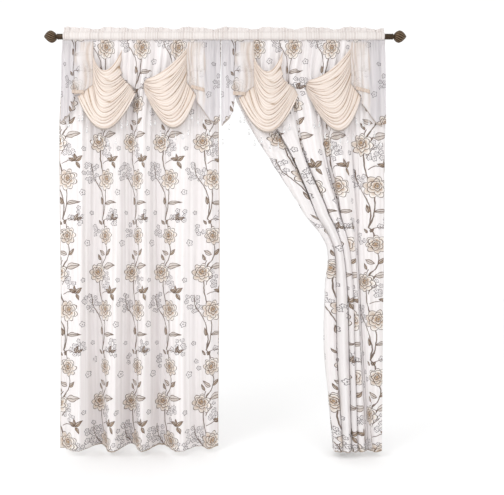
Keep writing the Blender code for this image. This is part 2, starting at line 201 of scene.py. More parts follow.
floretChart = (
    # across, down, radius
    (112, 256, 15),
    (-128, 358, 10),
    (24, 384, 14),
    (152, 512, 16),
    (120, 34, 11),
)

bloomRings = (
    # radius (share), petals, turn, centre across, centre up: a peony seen from a little above
    (1.00, 8, 0.30, 0.00, 0.00),
    (0.72, 6, 1.20, 0.05, 0.08),
    (0.46, 5, 0.45, -0.03, 0.13),
    (0.23, 3, 1.05, 0.03, 0.14),
)

petalForm = {
    "scallop": 0.24,         # how deep the rim dips between two petals (share of the ring)
    "cleftFrom": 0.66,       # where the line between two petals starts (share of the way out)
    "goldTo": 0.52, "creamFrom": 0.90, "footTone": 0.3,
    # the bloom's gold side: where it starts and ends (shares of the radius), and its tone
    "goldSide": (-0.9, 0.3, 0.72),
}
leafForm = {"fullerAtStalk": 0.9, "fullAtTip": 0.55, "lighterHalf": 0.35}
floretForm = {"petals": 5, "scallop": 0.38, "eye": 0.22}


def makeBloomGroup():
    # rings of scalloped petals: gold at each ring's foot, cream at its rim, with a brown outline
    tree, given, result = newGroup("peony bloom", {"Place": "Vector", "Line": "Float"},
                                   {"Cover": "Float", "Ink": "Float", "Tone": "Float"})
    ink = tone = 0.0
    dip = petalForm["scallop"]
    for radius, petals, turn, across, up in bloomRings:
        local = addNode(tree, "VectorMath.SUBTRACT", given["Place"], (across, up, 0))
        parts = addNode(tree, "SeparateXYZ", local).node.outputs
        away = addNode(tree, "VectorMath.LENGTH", local, output="Value")
        angle = addNode(tree, "Math.ARCTAN2", parts["Y"], parts["X"])
        wave = addNode(tree, "Math.SINE", addNode(tree, "Math.MULTIPLY_ADD", angle, petals / 2, turn))
        lobe = addNode(tree, "Math.ABSOLUTE", wave)
        rim = addNode(tree, "Math.MULTIPLY_ADD", lobe, dip * radius, (1 - dip) * radius)
        inside = addNode(tree, "Math.LESS_THAN", away, rim)
        gap = addNode(tree, "Math.ABSOLUTE", addNode(tree, "Math.SUBTRACT", away, rim))
        outline = addNode(tree, "Math.LESS_THAN", gap, given["Line"])
        share = addNode(tree, "Math.DIVIDE", away, rim)
        cleft = addNode(tree, "Math.LESS_THAN", addNode(tree, "Math.MULTIPLY", lobe, away), given["Line"])
        outer = addNode(tree, "Math.GREATER_THAN", share, petalForm["cleftFrom"])
        cleft = addNode(tree, "Math.MULTIPLY", cleft, outer)
        cleft = addNode(tree, "Math.MULTIPLY", cleft, inside)
        drawn = addNode(tree, "Math.MAXIMUM", outline, cleft)
        outside = addNode(tree, "Math.SUBTRACT", 1.0, inside)
        ink = addNode(tree, "Math.MAXIMUM", addNode(tree, "Math.MULTIPLY", ink, outside), drawn)
        petal = addNode(tree, "MapRange", share, petalForm["goldTo"], petalForm["creamFrom"],
                        petalForm["footTone"] * radius, 1.0)
        tone = addNode(tree, "Mix", inside, None, tone, petal, data_type="FLOAT")
        if radius == 1.0:
            tree.links.new(inside, result["Cover"])
    # each bloom is gold on one side and pale on the other
    whole = addNode(tree, "SeparateXYZ", given["Place"]).node.outputs["X"]
    tint = addNode(tree, "MapRange", whole, *petalForm["goldSide"], 1.0)
    tone = addNode(tree, "Math.MULTIPLY", tone, tint)
    tree.links.new(ink, result["Ink"])
    tree.links.new(tone, result["Tone"])
    return tree


def makeLeafGroup():
    # a pointed leaf along X from 0 to 1, with an outline and a midrib
    tree, given, result = newGroup("leaf",
                                   {"Place": "Vector", "Width": "Float", "Bend": "Float", "Line": "Float"},
                                   {"Cover": "Float", "Ink": "Float"})
    parts = addNode(tree, "SeparateXYZ", given["Place"]).node.outputs
    rest = addNode(tree, "Math.SUBTRACT", 1.0, parts["X"])
    arch = addNode(tree, "Math.MULTIPLY", addNode(tree, "Math.MULTIPLY", parts["X"], rest), 4.0)
    line = addNode(tree, "Math.SUBTRACT", parts["Y"], addNode(tree, "Math.MULTIPLY", arch, given["Bend"]))
    across = addNode(tree, "Math.ABSOLUTE", line)
    fullness = addNode(tree, "Math.MULTIPLY_ADD", rest, leafForm["fullerAtStalk"], leafForm["fullAtTip"])
    half = addNode(tree, "Math.MULTIPLY", addNode(tree, "Math.MULTIPLY", arch, given["Width"]), fullness)
    half = addNode(tree, "Math.MULTIPLY", half, addNode(tree, "Math.GREATER_THAN", arch, 0.0))
    cover = addNode(tree, "Math.LESS_THAN", across, half)
    inside = addNode(tree, "Math.SUBTRACT", half, given["Line"])
    border = addNode(tree, "Math.MULTIPLY", cover, addNode(tree, "Math.GREATER_THAN", across, inside))
    rib = addNode(tree, "Math.LESS_THAN", across, addNode(tree, "Math.MULTIPLY", given["Line"], 0.5))
    rib = addNode(tree, "Math.MULTIPLY", cover, rib)
    upper = addNode(tree, "Math.GREATER_THAN", line, 0.0)
    shade = addNode(tree, "Math.MULTIPLY_ADD", upper, -leafForm["lighterHalf"], 1.0)
    shaded = addNode(tree, "Math.MULTIPLY", cover, shade)
    tree.links.new(shaded, result["Cover"])
    tree.links.new(addNode(tree, "Math.MAXIMUM", border, rib), result["Ink"])
    return tree


def makeTrailGroup():
    # a curved stalk along X from 0 to 1
    tree, given, result = newGroup("trail", {"Place": "Vector", "Width": "Float", "Bend": "Float"},
                                   {"Ink": "Float"})
    parts = addNode(tree, "SeparateXYZ", given["Place"]).node.outputs
    rest = addNode(tree, "Math.SUBTRACT", 1.0, parts["X"])
    room = addNode(tree, "Math.MULTIPLY", parts["X"], rest)
    curve = addNode(tree, "Math.MULTIPLY", addNode(tree, "Math.MULTIPLY", room, 4.0), given["Bend"])
    across = addNode(tree, "Math.ABSOLUTE", addNode(tree, "Math.SUBTRACT", parts["Y"], curve))
    drawn = addNode(tree, "Math.LESS_THAN", across, given["Width"])
    within = addNode(tree, "Math.GREATER_THAN", room, 0.0)
    tree.links.new(addNode(tree, "Math.MULTIPLY", drawn, within), result["Ink"])
    return tree


def makeFloretGroup():
    # five round petals in outline with a dark eye
    tree, given, result = newGroup("floret", {"Place": "Vector", "Line": "Float"}, {"Ink": "Float"})
    parts = addNode(tree, "SeparateXYZ", given["Place"]).node.outputs
    away = addNode(tree, "VectorMath.LENGTH", given["Place"], output="Value")
    angle = addNode(tree, "Math.ARCTAN2", parts["Y"], parts["X"])
    wave = addNode(tree, "Math.SINE", addNode(tree, "Math.MULTIPLY", angle, floretForm["petals"] / 2))
    lobe = addNode(tree, "Math.ABSOLUTE", wave)
    rim = addNode(tree, "Math.MULTIPLY_ADD", lobe, floretForm["scallop"], 1 - floretForm["scallop"])
    gap = addNode(tree, "Math.ABSOLUTE", addNode(tree, "Math.SUBTRACT", away, rim))
    outline = addNode(tree, "Math.LESS_THAN", gap, given["Line"])
    eye = addNode(tree, "Math.LESS_THAN", away, floretForm["eye"])
    tree.links.new(addNode(tree, "Math.MAXIMUM", outline, eye), result["Ink"])
    return tree


def placeMotif(tree, spot, across, down, direction, length):
    # the place in a motif's own frame: X along its direction, in shares of its length, once in each repeat
    x, y = across * mm / printRepeat["widening"], -down * mm
    halves = printRepeat["across"] * mm / printRepeat["widening"] / 2, printRepeat["down"] * mm / 2
    high, low = (x + halves[0], y + halves[1], 1), (x - halves[0], y - halves[1], -1)
    wrapped = addNode(tree, "VectorMath.WRAP", spot, high, low)
    scale = 1 / (length * mm)
    turn = math.radians(-direction)
    moved = Matrix.Rotation(turn, 3, "Z") @ Vector((-x * scale, -y * scale, 0))
    return addNode(tree, "Mapping", wrapped, moved, (0, 0, turn), (scale, scale, 1), vector_type="POINT")


printInks = {
    "brown": "674E3A",
    "grey": "71686C",
    "petalLine": "604836",
    "petalFoot": "A97F48",
    "petalRim": "FFFBF7",
    "leaf": "A2855F",
    "overlock": "B9A58E",
}


def makePrintGroup():
    tree, given, result = newGroup("floral print",
                                   {"Cloth place": "Vector", "Cloth": "Color", "Strength": "Float"},
                                   {"Color": "Color"})
    bloomGroup, leafGroup = makeBloomGroup(), makeLeafGroup()
    trailGroup, floretGroup = makeTrailGroup(), makeFloretGroup()
    line, widening = printRepeat["inkWidth"], printRepeat["widening"]
    narrowed = addNode(tree, "VectorMath.MULTIPLY", given["Cloth place"], (1 / widening, 1, 1))
    # the hand drawn wander of every line
    noise = addNode(tree, "TexNoise", narrowed, output="Color", noise_dimensions="2D",
                    named={"Scale": 1000 / printRepeat["wanderScale"], "Detail": 1.0})
    centred = addNode(tree, "VectorMath.SUBTRACT", noise, (0.5, 0.5, 0.5))
    reach = printRepeat["wander"] * mm
    spot = addNode(tree, "VectorMath.MULTIPLY_ADD", centred, (reach, reach, 0), narrowed)

    ink = leafFill = 0.0
    for startX, startY, endX, endY, bend, width in trailChart:
        reachAcross, reachUp = (endX - startX) / widening, startY - endY
        length = math.hypot(reachAcross, reachUp)
        direction = math.degrees(math.atan2(reachUp, reachAcross))
        place = placeMotif(tree, spot, startX, startY, direction, length)
        drawn = addNode(tree, "Group", place, width / 2 / length, bend, node_tree=trailGroup)
        ink = addNode(tree, "Math.MAXIMUM", ink, drawn)
    for across, down, direction, length, width, bend, tone in leafChart:
        place = placeMotif(tree, spot, across, down, direction, length)
        leaf = addNode(tree, "Group", place, width, bend, line / length, node_tree=leafGroup).node.outputs
        fill = addNode(tree, "Math.MULTIPLY", leaf["Cover"], tone)
        leafFill = addNode(tree, "Math.MAXIMUM", leafFill, fill)
        ink = addNode(tree, "Math.MAXIMUM", ink, leaf["Ink"])

    # blossom in the sprays: scattered florets, each shown whole where its own middle lies in a spray
    cell = blossomPlan["cell"]
    scatter = addNode(tree, "TexVoronoi", output="Position", voronoi_dimensions="2D",
                      named={"Vector": spot, "Scale": 1000 / cell, "Randomness": blossomPlan["scatter"]})
    local = addNode(tree, "VectorMath.SUBTRACT", spot, scatter)
    local = addNode(tree, "VectorMath.SCALE", local, None, None, 1000 / (blossomPlan["radius"] * cell))
    blossom = addNode(tree, "Group", local, blossomPlan["line"], node_tree=floretGroup)
    # the same blossom borders the hem, under which the edge is overlocked
    hung = addNode(tree, "SeparateXYZ", addNode(tree, "TexCoord", output="Object")).node.outputs["Z"]
    clothHeight = addNode(tree, "SeparateXYZ", given["Cloth place"]).node.outputs["Y"]
    scatterHeight = addNode(tree, "SeparateXYZ", scatter).node.outputs["Y"]
    above = addNode(tree, "Math.SUBTRACT", scatterHeight, clothHeight)
    sprays = addNode(tree, "Math.LESS_THAN", addNode(tree, "Math.ADD", hung, above),
                     hemZ + printRepeat["hemBorder"])
    hemEdge = addNode(tree, "Math.LESS_THAN", hung, hemZ + printRepeat["hemEdge"])
    for across, down, halfWidth, halfHeight in sprayChart:
        place = placeMotif(tree, scatter, across, down, 0, halfWidth)
        place = addNode(tree, "VectorMath.MULTIPLY", place, (1, halfWidth / halfHeight, 0))
        away = addNode(tree, "VectorMath.LENGTH", place, output="Value")
        sprays = addNode(tree, "Math.MAXIMUM", sprays, addNode(tree, "Math.LESS_THAN", away, 1.0))
    greyInk = addNode(tree, "Math.MULTIPLY", blossom, sprays)
    for across, down, radius in floretChart:
        place = placeMotif(tree, spot, across, down, 0, radius)
        drawn = addNode(tree, "Group", place, line / 2 / radius, node_tree=floretGroup)
        greyInk = addNode(tree, "Math.MAXIMUM", greyInk, drawn)

    bloomInk = bloomCover = bloomTone = 0.0
    for across, down, turn, radius in bloomChart:
        place = placeMotif(tree, spot, across, down, turn, radius)
        bloom = addNode(tree, "Group", place, line / 2 / radius, node_tree=bloomGroup).node.outputs
        tone = addNode(tree, "Math.MULTIPLY", bloom["Cover"], bloom["Tone"])
        bloomInk = addNode(tree, "Math.MAXIMUM", bloomInk, bloom["Ink"])
        bloomCover = addNode(tree, "Math.MAXIMUM", bloomCover, bloom["Cover"])
        bloomTone = addNode(tree, "Math.MAXIMUM", bloomTone, tone)

    petals = addNode(tree, "Mix", bloomTone, output=2, data_type="RGBA",
                     named={6: hexColour(printInks["petalFoot"]), 7: hexColour(printInks["petalRim"])})
    colour = given["Cloth"]
    layers = (
        (leafFill, hexColour(printInks["leaf"]), 0.8),
        (greyInk, hexColour(printInks["grey"]), 0.85),
        (ink, hexColour(printInks["brown"]), 0.9),
        (bloomCover, petals, 0.9),
        (bloomInk, hexColour(printInks["petalLine"]), 0.95),
        (hemEdge, hexColour(printInks["overlock"]), 0.8),
    )
    for cover, dye, density in layers:
        amount = addNode(tree, "Math.MULTIPLY", cover, density)
        amount = addNode(tree, "Math.MULTIPLY", amount, given["Strength"])
        colour = addNode(tree, "Mix", amount, output=2, data_type="RGBA", named={6: colour, 7: dye})
    tree.links.new(colour, result["Color"])
    return tree


printGroup = makePrintGroup()
print("print charted")


# Materials


def newMaterial(name):
    made = bpy.data.materials.new(name)
    made.use_nodes = True
    return made, made.node_tree, made.node_tree.nodes["Principled BSDF"]


clothLook = {
    # what all the cloths share
    "streakRun": 0.012,      # how much slower the streaks (painted sheen, roughness, relief) change down the cloth than across it
    "weavePitch": 1.6,       # mm, because the real threads, 0.2 mm apart, are too fine to show
    "reliefDepth": 0.0006,   # m
    # where the painted fold shade starts and ends turning brown, and how brown it gets
    "deepFrom": 0.62, "deepTo": 0.90, "deepTint": 0.85,
    "sheenRoughness": 0.4, "specular": 0.4,
}


def makeClothMaterial(name, plan):
    # woven polyester: painted sheen in fine upright warp streaks, painted shade where folds close, light
    # coming through
    made, tree, shader = newMaterial(name)
    place = addNode(tree, "UVMap", uv_map="cloth")
    streaked = addNode(tree, "Mapping", place, None, None, (1, clothLook["streakRun"], 1))
    streaks = addNode(tree, "TexNoise", streaked, noise_dimensions="2D",
                      named={"Scale": 1000 / plan["streakWidth"], "Detail": 3.0})
    # painted sheen: the streaks lighten and darken the cloth's colour
    lustre = addNode(tree, "MapRange", streaks, 0.32, 0.68, 0.0, 1.0)
    colour = addNode(tree, "Mix", lustre, output=2, data_type="RGBA",
                     named={6: hexColour(plan["shade"]), 7: hexColour(plan["colour"])})
    # painted shade where the folds close; on the panels the same mask also carries the overlocked edge's tan
    # line
    shadeAndOverlockAmount = addNode(tree, "Attribute", attribute_name="shadeAndOverlock", output="Fac")
    amount = addNode(tree, "Math.MULTIPLY", shadeAndOverlockAmount, plan["hollowTint"])
    colour = addNode(tree, "Mix", amount, output=2, data_type="RGBA",
                     named={6: colour, 7: hexColour(plan["shadeAndOverlock"])})
    # the deepest painted shade turns brown
    if "deepShadeAndOverlock" in plan:
        deepShadeAndOverlock = addNode(tree, "MapRange", shadeAndOverlockAmount, clothLook["deepFrom"], clothLook["deepTo"],
                          0.0, clothLook["deepTint"])
        colour = addNode(tree, "Mix", deepShadeAndOverlock, output=2, data_type="RGBA",
                         named={6: colour, 7: hexColour(plan["deepShadeAndOverlock"])})
    strength = plan.get("print", 0.0)
    if "facing" in plan:
        # the plain satin facing that is laid over the side pieces next to the swags
        faced = addNode(tree, "Attribute", attribute_name="facing", output="Fac")
        # the facing gets painted shade in its folds too
        facing = addNode(tree, "Mix", shadeAndOverlockAmount, output=2, data_type="RGBA",
                         named={6: hexColour(plan["facing"]), 7: hexColour(plan["facingShade"])})
        colour = addNode(tree, "Mix", faced, output=2, data_type="RGBA", named={6: colour, 7: facing})
        strength = addNode(tree, "Math.MULTIPLY_ADD", faced, -strength, strength)
    if plan.get("print"):
        colour = addNode(tree, "Group", place, colour, strength, node_tree=printGroup)
    rough = addNode(tree, "MapRange", streaks, 0.3, 0.7, plan["roughness"] + 0.08, plan["roughness"] - 0.06)
    # the weave itself, drawn coarser than the real one
    weave = addNode(tree, "TexWave", place, output="Fac", wave_type="BANDS", bands_direction="DIAGONAL",
                    named={"Scale": 1000 / clothLook["weavePitch"] / 20, "Distortion": 1.5, "Detail": 1.0})
    relief = addNode(tree, "Math.MULTIPLY_ADD", weave, 0.25, streaks)
    bump = addNode(tree, "Bump", named={"Strength": plan["relief"], "Distance": clothLook["reliefDepth"],
                                        "Height": relief})
    for key, value in (("Base Color", colour), ("Roughness", rough), ("Normal", bump)):
        tree.links.new(value, shader.inputs[key])
    shader.inputs["Sheen Weight"].default_value = plan["sheen"]
    shader.inputs["Sheen Roughness"].default_value = clothLook["sheenRoughness"]
    shader.inputs["Specular IOR Level"].default_value = clothLook["specular"]
    shader.inputs["Alpha"].default_value = plan.get("cover", 1.0)
    behind = addNode(tree, "BsdfTranslucent", colour, bump)
    both = addNode(tree, "MixShader", plan["through"], shader.outputs[0], behind)
    tree.links.new(both, tree.nodes["Material Output"].inputs["Surface"])
    return made


# each cloth's colour and shade are the two ends of its painted sheen streaks; its darker tints are the
# painted shade in its folds, and on the panels also the overlocked edge's line
clothPlans = {
    "printedSatin": {"colour": "FBF8F8", "shade": "F3EFEE", "shadeAndOverlock": "E4DEDE", "hollowTint": 0.7,
                     "deepShadeAndOverlock": "B08D6A", "streakWidth": 16, "roughness": 0.46, "sheen": 0.15,
                     "relief": 0.25, "through": 0.3, "print": 1.0},
    "sheerPrint": {"colour": "F3F0F1", "shade": "E8E5E7", "shadeAndOverlock": "CFCACD", "hollowTint": 0.5,
                   "streakWidth": 20, "roughness": 0.55, "sheen": 0.1, "relief": 0.2, "through": 0.35,
                   "print": 1.0, "cover": 0.8, "facing": "FDFAF9", "facingShade": "DECDBF"},
    "creamSatin": {"colour": "F6ECE5", "shade": "F0E2D7", "shadeAndOverlock": "AC8A66", "hollowTint": 0.92,
                   "streakWidth": 12, "roughness": 0.38, "sheen": 0.15, "relief": 0.15, "through": 0.15},
    "ivoryHeading": {"colour": "F5F0EE", "shade": "EEE7E3", "shadeAndOverlock": "CFC2BC", "hollowTint": 0.75,
                     "streakWidth": 10, "roughness": 0.45, "sheen": 0.15, "relief": 0.2, "through": 0.2},
    "trimTape": {"colour": "D9D0C8", "shade": "C9BFB8", "shadeAndOverlock": "A89C94", "hollowTint": 0.5,
                 "streakWidth": 4, "roughness": 0.6, "sheen": 0.1, "relief": 0.3, "through": 0.1},
}


bronzeLook = {"groove": "241A12", "rib": "7C6853", "mottle": 120.0, "metallic": 0.85}
acrylicLook = {"core": "F2F2F2", "skin": "FFFFFF", "haze": 90.0, "ior": 1.49, "transmission": 0.45}
threadLook = {"shade": "D8D4D2", "light": "F2F0EE", "twist": 600.0, "roughness": 0.7}


def makeBronze():
    # cast zinc with a brushed antique bronze lacquer: dark in the grooves, rubbed lighter on the ribs
    made, tree, shader = newMaterial("antiqueBronze")
    place = addNode(tree, "TexCoord", output="Object")
    mottle = addNode(tree, "TexNoise", place, named={"Scale": bronzeLook["mottle"], "Detail": 4.0})
    worn = addNode(tree, "Attribute", attribute_name="rubbed", output="Fac")
    amount = addNode(tree, "Math.MULTIPLY_ADD", mottle, 0.35, worn)
    colour = addNode(tree, "Mix", addNode(tree, "MapRange", amount, 0.25, 1.2, 0.0, 1.0), output=2,
                     data_type="RGBA",
                     named={6: hexColour(bronzeLook["groove"]), 7: hexColour(bronzeLook["rib"])})
    rough = addNode(tree, "MapRange", mottle, 0.3, 0.7, 0.46, 0.32)
    bump = addNode(tree, "Bump", named={"Strength": 0.25, "Distance": 0.0004, "Height": mottle})
    for key, value in (("Base Color", colour), ("Roughness", rough), ("Normal", bump)):
        tree.links.new(value, shader.inputs[key])
    shader.inputs["Metallic"].default_value = bronzeLook["metallic"]
    return made


def makeClearBead():
    # moulded clear acrylic: the real drop is water clear, with a faint grey core
    made, tree, shader = newMaterial("clearAcrylic")
    place = addNode(tree, "TexCoord", output="Object")
    haze = addNode(tree, "TexNoise", place, named={"Scale": acrylicLook["haze"], "Detail": 2.0})
    colour = addNode(tree, "Mix", haze, output=2, data_type="RGBA",
                     named={6: hexColour(acrylicLook["core"]), 7: hexColour(acrylicLook["skin"])})
    tree.links.new(colour, shader.inputs["Base Color"])
    tree.links.new(addNode(tree, "MapRange", haze, 0.3, 0.7, 0.05, 0.14), shader.inputs["Roughness"])
    shader.inputs["IOR"].default_value = acrylicLook["ior"]
    shader.inputs["Transmission Weight"].default_value = acrylicLook["transmission"]
    return made


def makeThread():
    # spun polyester thread, off white
    made, tree, shader = newMaterial("whiteThread")
    place = addNode(tree, "TexCoord", output="Object")
    twist = addNode(tree, "TexNoise", place, named={"Scale": threadLook["twist"]})
    colour = addNode(tree, "Mix", twist, output=2, data_type="RGBA",
                     named={6: hexColour(threadLook["shade"]), 7: hexColour(threadLook["light"])})
    tree.links.new(colour, shader.inputs["Base Color"])
    shader.inputs["Roughness"].default_value = threadLook["roughness"]
    return made


finishes = {name: makeClothMaterial(name, plan) for name, plan in clothPlans.items()}
finishes.update(antiqueBronze=makeBronze(), clearAcrylic=makeClearBead(), whiteThread=makeThread())
print("materials made:", len(finishes))


# Mesh helpers


def addPiece(name, mesh, *finishNames, slot):
    for finishName in finishNames:
        mesh.materials.append(finishes[finishName])
    mesh.shade_smooth()
    piece = bpy.data.objects.new(name, mesh)
    bpy.context.scene.collection.objects.link(piece)
    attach(piece, "root")
    return piece


def toMesh(name, shape):
    mesh = bpy.data.meshes.new(name)
    shape.to_mesh(mesh)
    shape.free()
    return mesh


def makeCloth(name, columns, rows, place, clothPlace, finish, slot, facedAt=None, thickness=0.0012):
    # a sheet of cloth on a grid: place gives a point and how much painted fold shade (on the panels also the
    # overlocked edge's line) it has there, from two shares; facedAt gives how much of a facing shows there
    cloth = bmesh.new()
    flat = cloth.loops.layers.uv.new("cloth")
    shadeAndOverlock = cloth.verts.layers.float.new("shadeAndOverlock")
    facing = cloth.verts.layers.float.new("facing") if facedAt else None
    bmesh.ops.create_grid(cloth, x_segments=columns, y_segments=rows, size=0.5)
    shares = {}
    for vert in cloth.verts:
        across, down = vert.co.x + 0.5, 0.5 - vert.co.y
        shares[vert] = across, down
        vert.co, vert[shadeAndOverlock] = place(across, down)
        if facedAt:
            vert[facing] = facedAt(across, down)
    for face in cloth.faces:
        for loop in face.loops:
            loop[flat].uv = clothPlace(*shares[loop.vert], loop.vert.co)
    piece = addPiece(name, toMesh(name, cloth), finish, slot=slot)
    solid = piece.modifiers.new("thickness", "SOLIDIFY")
    solid.thickness = thickness
    solid.offset = 0.0
    return piece


def surfaceOf(*pieces):
    trees = []
    for piece in pieces:
        corners = [vert.co for vert in piece.data.vertices]
        trees.append(BVHTree.FromPolygons(corners, [tuple(face.vertices) for face in piece.data.polygons]))
    return trees


def frontAt(trees, x, z, reach=0.006):
    # how far forward the nearest cloth stands here and just beside, seen from the front
    found = []
    for tree in trees:
        for side in (-reach, 0.0, reach):
            hit = tree.ray_cast(Vector((x + side, -1.0, z)), Vector((0.0, 1.0, 0.0)))[0]
            if hit is not None:
                found.append(hit.y)
    return min(found) if found else None


def inFront(trees, x, z, y, gap):
    front = frontAt(trees, x, z)
    return y if front is None else min(y, front - gap)


# The panels: widths and heights come from the frame's own boxes

clothPlan = {
    "width": 1.372,          # the printed cloth is 137 cm wide before it is gathered
    "columns": 220, "rows": 180,
    "seamGap": 0.0003,       # how far under the casing's seam the cloth starts
    "tuck": 0.0070,          # how far back it starts there
    "gathers": 44,           # ridges and valleys of the main gathers
    "gatherDepthSeam": 0.004, "gatherDepthOpen": 0.008,
    "fineGathers": 61,       # small gathers that the casing's stitching draws up
    "fineDepth": 0.0016,
    "foldDepthTop": 0.004, "foldDepthHem": 0.058,
    "foldRound": 0.02,       # how much rounder than a plain wave the main folds are
    "smallFolds": (0.0024, 0.0011),          # depth of the 23 broader and the 41 finer upright creases (m)
    "sweptDepth": 0.062, "sweptRipple": 0.006,
    "gatherShade": 0.6, "foldShade": 0.6,            # how strongly their valleys get painted shade
    "printStart": {"left": 0.058, "right": -0.020},   # where the first vine stands, across the flat cloth
    # how much lower the print hangs once the cloth is swept, at the inner edge and beyond it, and how
    # much further in from that edge it starts (m)
    "printSlip": {"left": (0.0, 0.0, 0.0), "right": (-0.033, 0.045, 0.10)},
    "slipFrom": 0.35, "slipOver": 0.45,      # how far below the seam this starts, and grows to its full (m)
    "slipInner": 0.45,       # how much of the width has the inner edge's own slip
}
sides = {}
for side in ("left", "right"):
    headLow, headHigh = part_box("header_" + side)
    sides[side] = {"x": headLow.x, "width": headHigh.x - headLow.x}
seamZ = headLow.z
chartWidth = sides["left"]["width"]

leftFolds = (
    # across (mm), forward (share)
    (-15, -0.1), (84, 1.0), (173, -1.0), (264, 1.0), (341, -1.0), (412, 0.9),
    (483, -1.0), (595, 1.0), (696, -0.4), (746, 0.2), (790, -0.7),
)

straightStand = {
    "settledBy": 0.45,       # how far down the gathers have opened into the folds (m)
    "sway": 0.004,           # how far the folds drift sideways as they fall (m)
    "hemWave": 0.003,        # how uneven the hem is (m)
}

sweptSections = (
    # height (m), swept edge, valley 1, valley 2, valley 3, valley 4, outer edge (mm)
    (-0.0196, 2, 165, 295, 445, 625, 829),
    (-0.19, 42, 182, 318, 462, 636, 829),
    (-0.367, 98, 225, 367, 509, 647, 827),
    (-0.626, 247, 362, 423, 535, 669, 822),
    (-0.911, 423, 476, 542, 595, 677, 819),
    (-1.069, 534, 560, 606, 640, 680, 817),
    (-1.287, 522, 575, 632, 660, 690, 814),
    (-1.591, 520, 580, 641, 667, 706, 810),
    (-1.871, 545, 595, 648, 676, 725, 807),
    (-2.089, 565, 608, 652, 682, 733, 804),
)

sweptStand = {
    # for the stations beside and between the folds: how far back the cloth goes there (share of the depth)
    # and how much of a fold's width its opening takes, above the gathering place and below it
    "upperBack": (0.9, 0.75, 0.6, 0.0, -0.1, 0.9),
    "lowerBack": (1.1, 0.1, 1.25, 0.0, -0.5, 1.1),
    "upperWidths": (0.0, 0.08, 0.08, 0.24, 0.30, 0.0),
    "lowerWidths": (0.0, 0.025, 0.045, 0.025, 0.36, 0.0),
    "settledBy": 0.30, "grownBy": 0.85,      # how far down the folds are in place, and at full depth (m)
    "lowerFrom": 0.55, "lowerBy": 1.10,      # where the lower shares start, and where they hold in full (m)
    # how far forward each fold stands below the gathering place (share)
    "crests": (0.92, 1.0, 0.88, 0.88, 1.0),
    "turnedIn": 0.014,       # how far the side hems turn in behind the cloth (m)
    "leaning": 0.016,        # how far the deep valley leans behind the fold on its left (m)
    "crumple": 0.0050,       # how far the hidden walls sway (m)
    "smallFolds": 1.35,      # how much stronger the small upright creases are than in the other panel
}


def gatherKnots():
    count = clothPlan["gathers"]
    knots = []
    for station in range(count + 1):
        drift = 0.32 * math.sin(1.9 * station) if 0 < station < count else 0.0
        turn = 1 if station % 2 else -1
        knots.append(((station + drift) / count, turn * (0.72 + 0.28 * math.sin(2.4 * station))))
    return knots


knots = gatherKnots()
knotShares = [share for share, turn in knots]


def gatherAt(share):
    # uneven gathers of the heading, forward at 1 and back at -1
    place = min(max(bisect.bisect_right(knotShares, share) - 1, 0), len(knots) - 2)
    (startShare, start), (endShare, end) = knots[place], knots[place + 1]
    return mix(start, end, smooth((share - startShare) / (endShare - startShare)))


def fineGatherAt(share):
    # the small gathers, from two waves that keep no even beat
    turn = 2 * math.pi * share
    main = math.sin(clothPlan["fineGathers"] * turn + 1.3 * math.sin(7 * turn))
    return 0.75 * main + 0.35 * math.sin(0.61 * clothPlan["fineGathers"] * turn + 2)


def gatherDepth(below):
    # the gathers open just below the casing and are gone 70 cm further down
    opened = mix(clothPlan["gatherDepthSeam"], clothPlan["gatherDepthOpen"], smooth(below / 0.10))
    return opened * (1 - smooth((below - 0.10) / 0.60))


def gathersForward(share, below):
    # how far forward the large and the small gathers stand, as the cloth comes out of the casing's seam
    fine = clothPlan["fineDepth"] * fineGatherAt(share) * (1 - smooth(below / 0.30))
    tuck = clothPlan["tuck"] * (1 - smooth(below / 0.05))
    return gatherDepth(below) * gatherAt(share) + fine + tuck


# painted shade in the valleys of the heading's gathers, fading out 50 cm below the seam
def gatherValleyShade(share, below):
    return (1 - gatherAt(share)) / 2 * (1 - smooth(below / 0.5)) * clothPlan["gatherShade"]


def hungHeight(down, lower):
    # from the casing's seam to the lower edge
    return mix(seamZ - clothPlan["seamGap"], lower, down)


def foldShares():
    # where each turn of the main folds lies on the cloth, measured along the folded hem
    lengths = [0.0]
    for (startX, start), (endX, end) in zip(leftFolds, leftFolds[1:]):
        reach = (endX - startX) * mm, (end - start) * clothPlan["foldDepthHem"]
        lengths.append(lengths[-1] + math.hypot(*reach))
    return [length / lengths[-1] for length in lengths]


foldTurns = foldShares()


def foldDepth(below):
    # the folds come quickly below the casing, then deepen all the way to the hem
    drop = below / (seamZ - hemZ)
    growth = 0.28 * smooth(drop / 0.3) + 0.72 * max(drop, 0.0) ** 1.9
    return mix(clothPlan["foldDepthTop"], clothPlan["foldDepthHem"], growth)


def smallFolds(share, z, settled):
    # soft upright creases between the main folds, wandering as they fall
    first = math.sin(2 * math.pi * 23 * share + 0.9 * math.sin(2.3 * z) + 4 * math.sin(9 * share))
    second = math.sin(2 * math.pi * 41 * share + 1.4 * math.sin(1.7 * z + 2.0))
    broad, narrow = clothPlan["smallFolds"]
    return (broad * first + narrow * second) * mix(0.5, 1.0, settled)


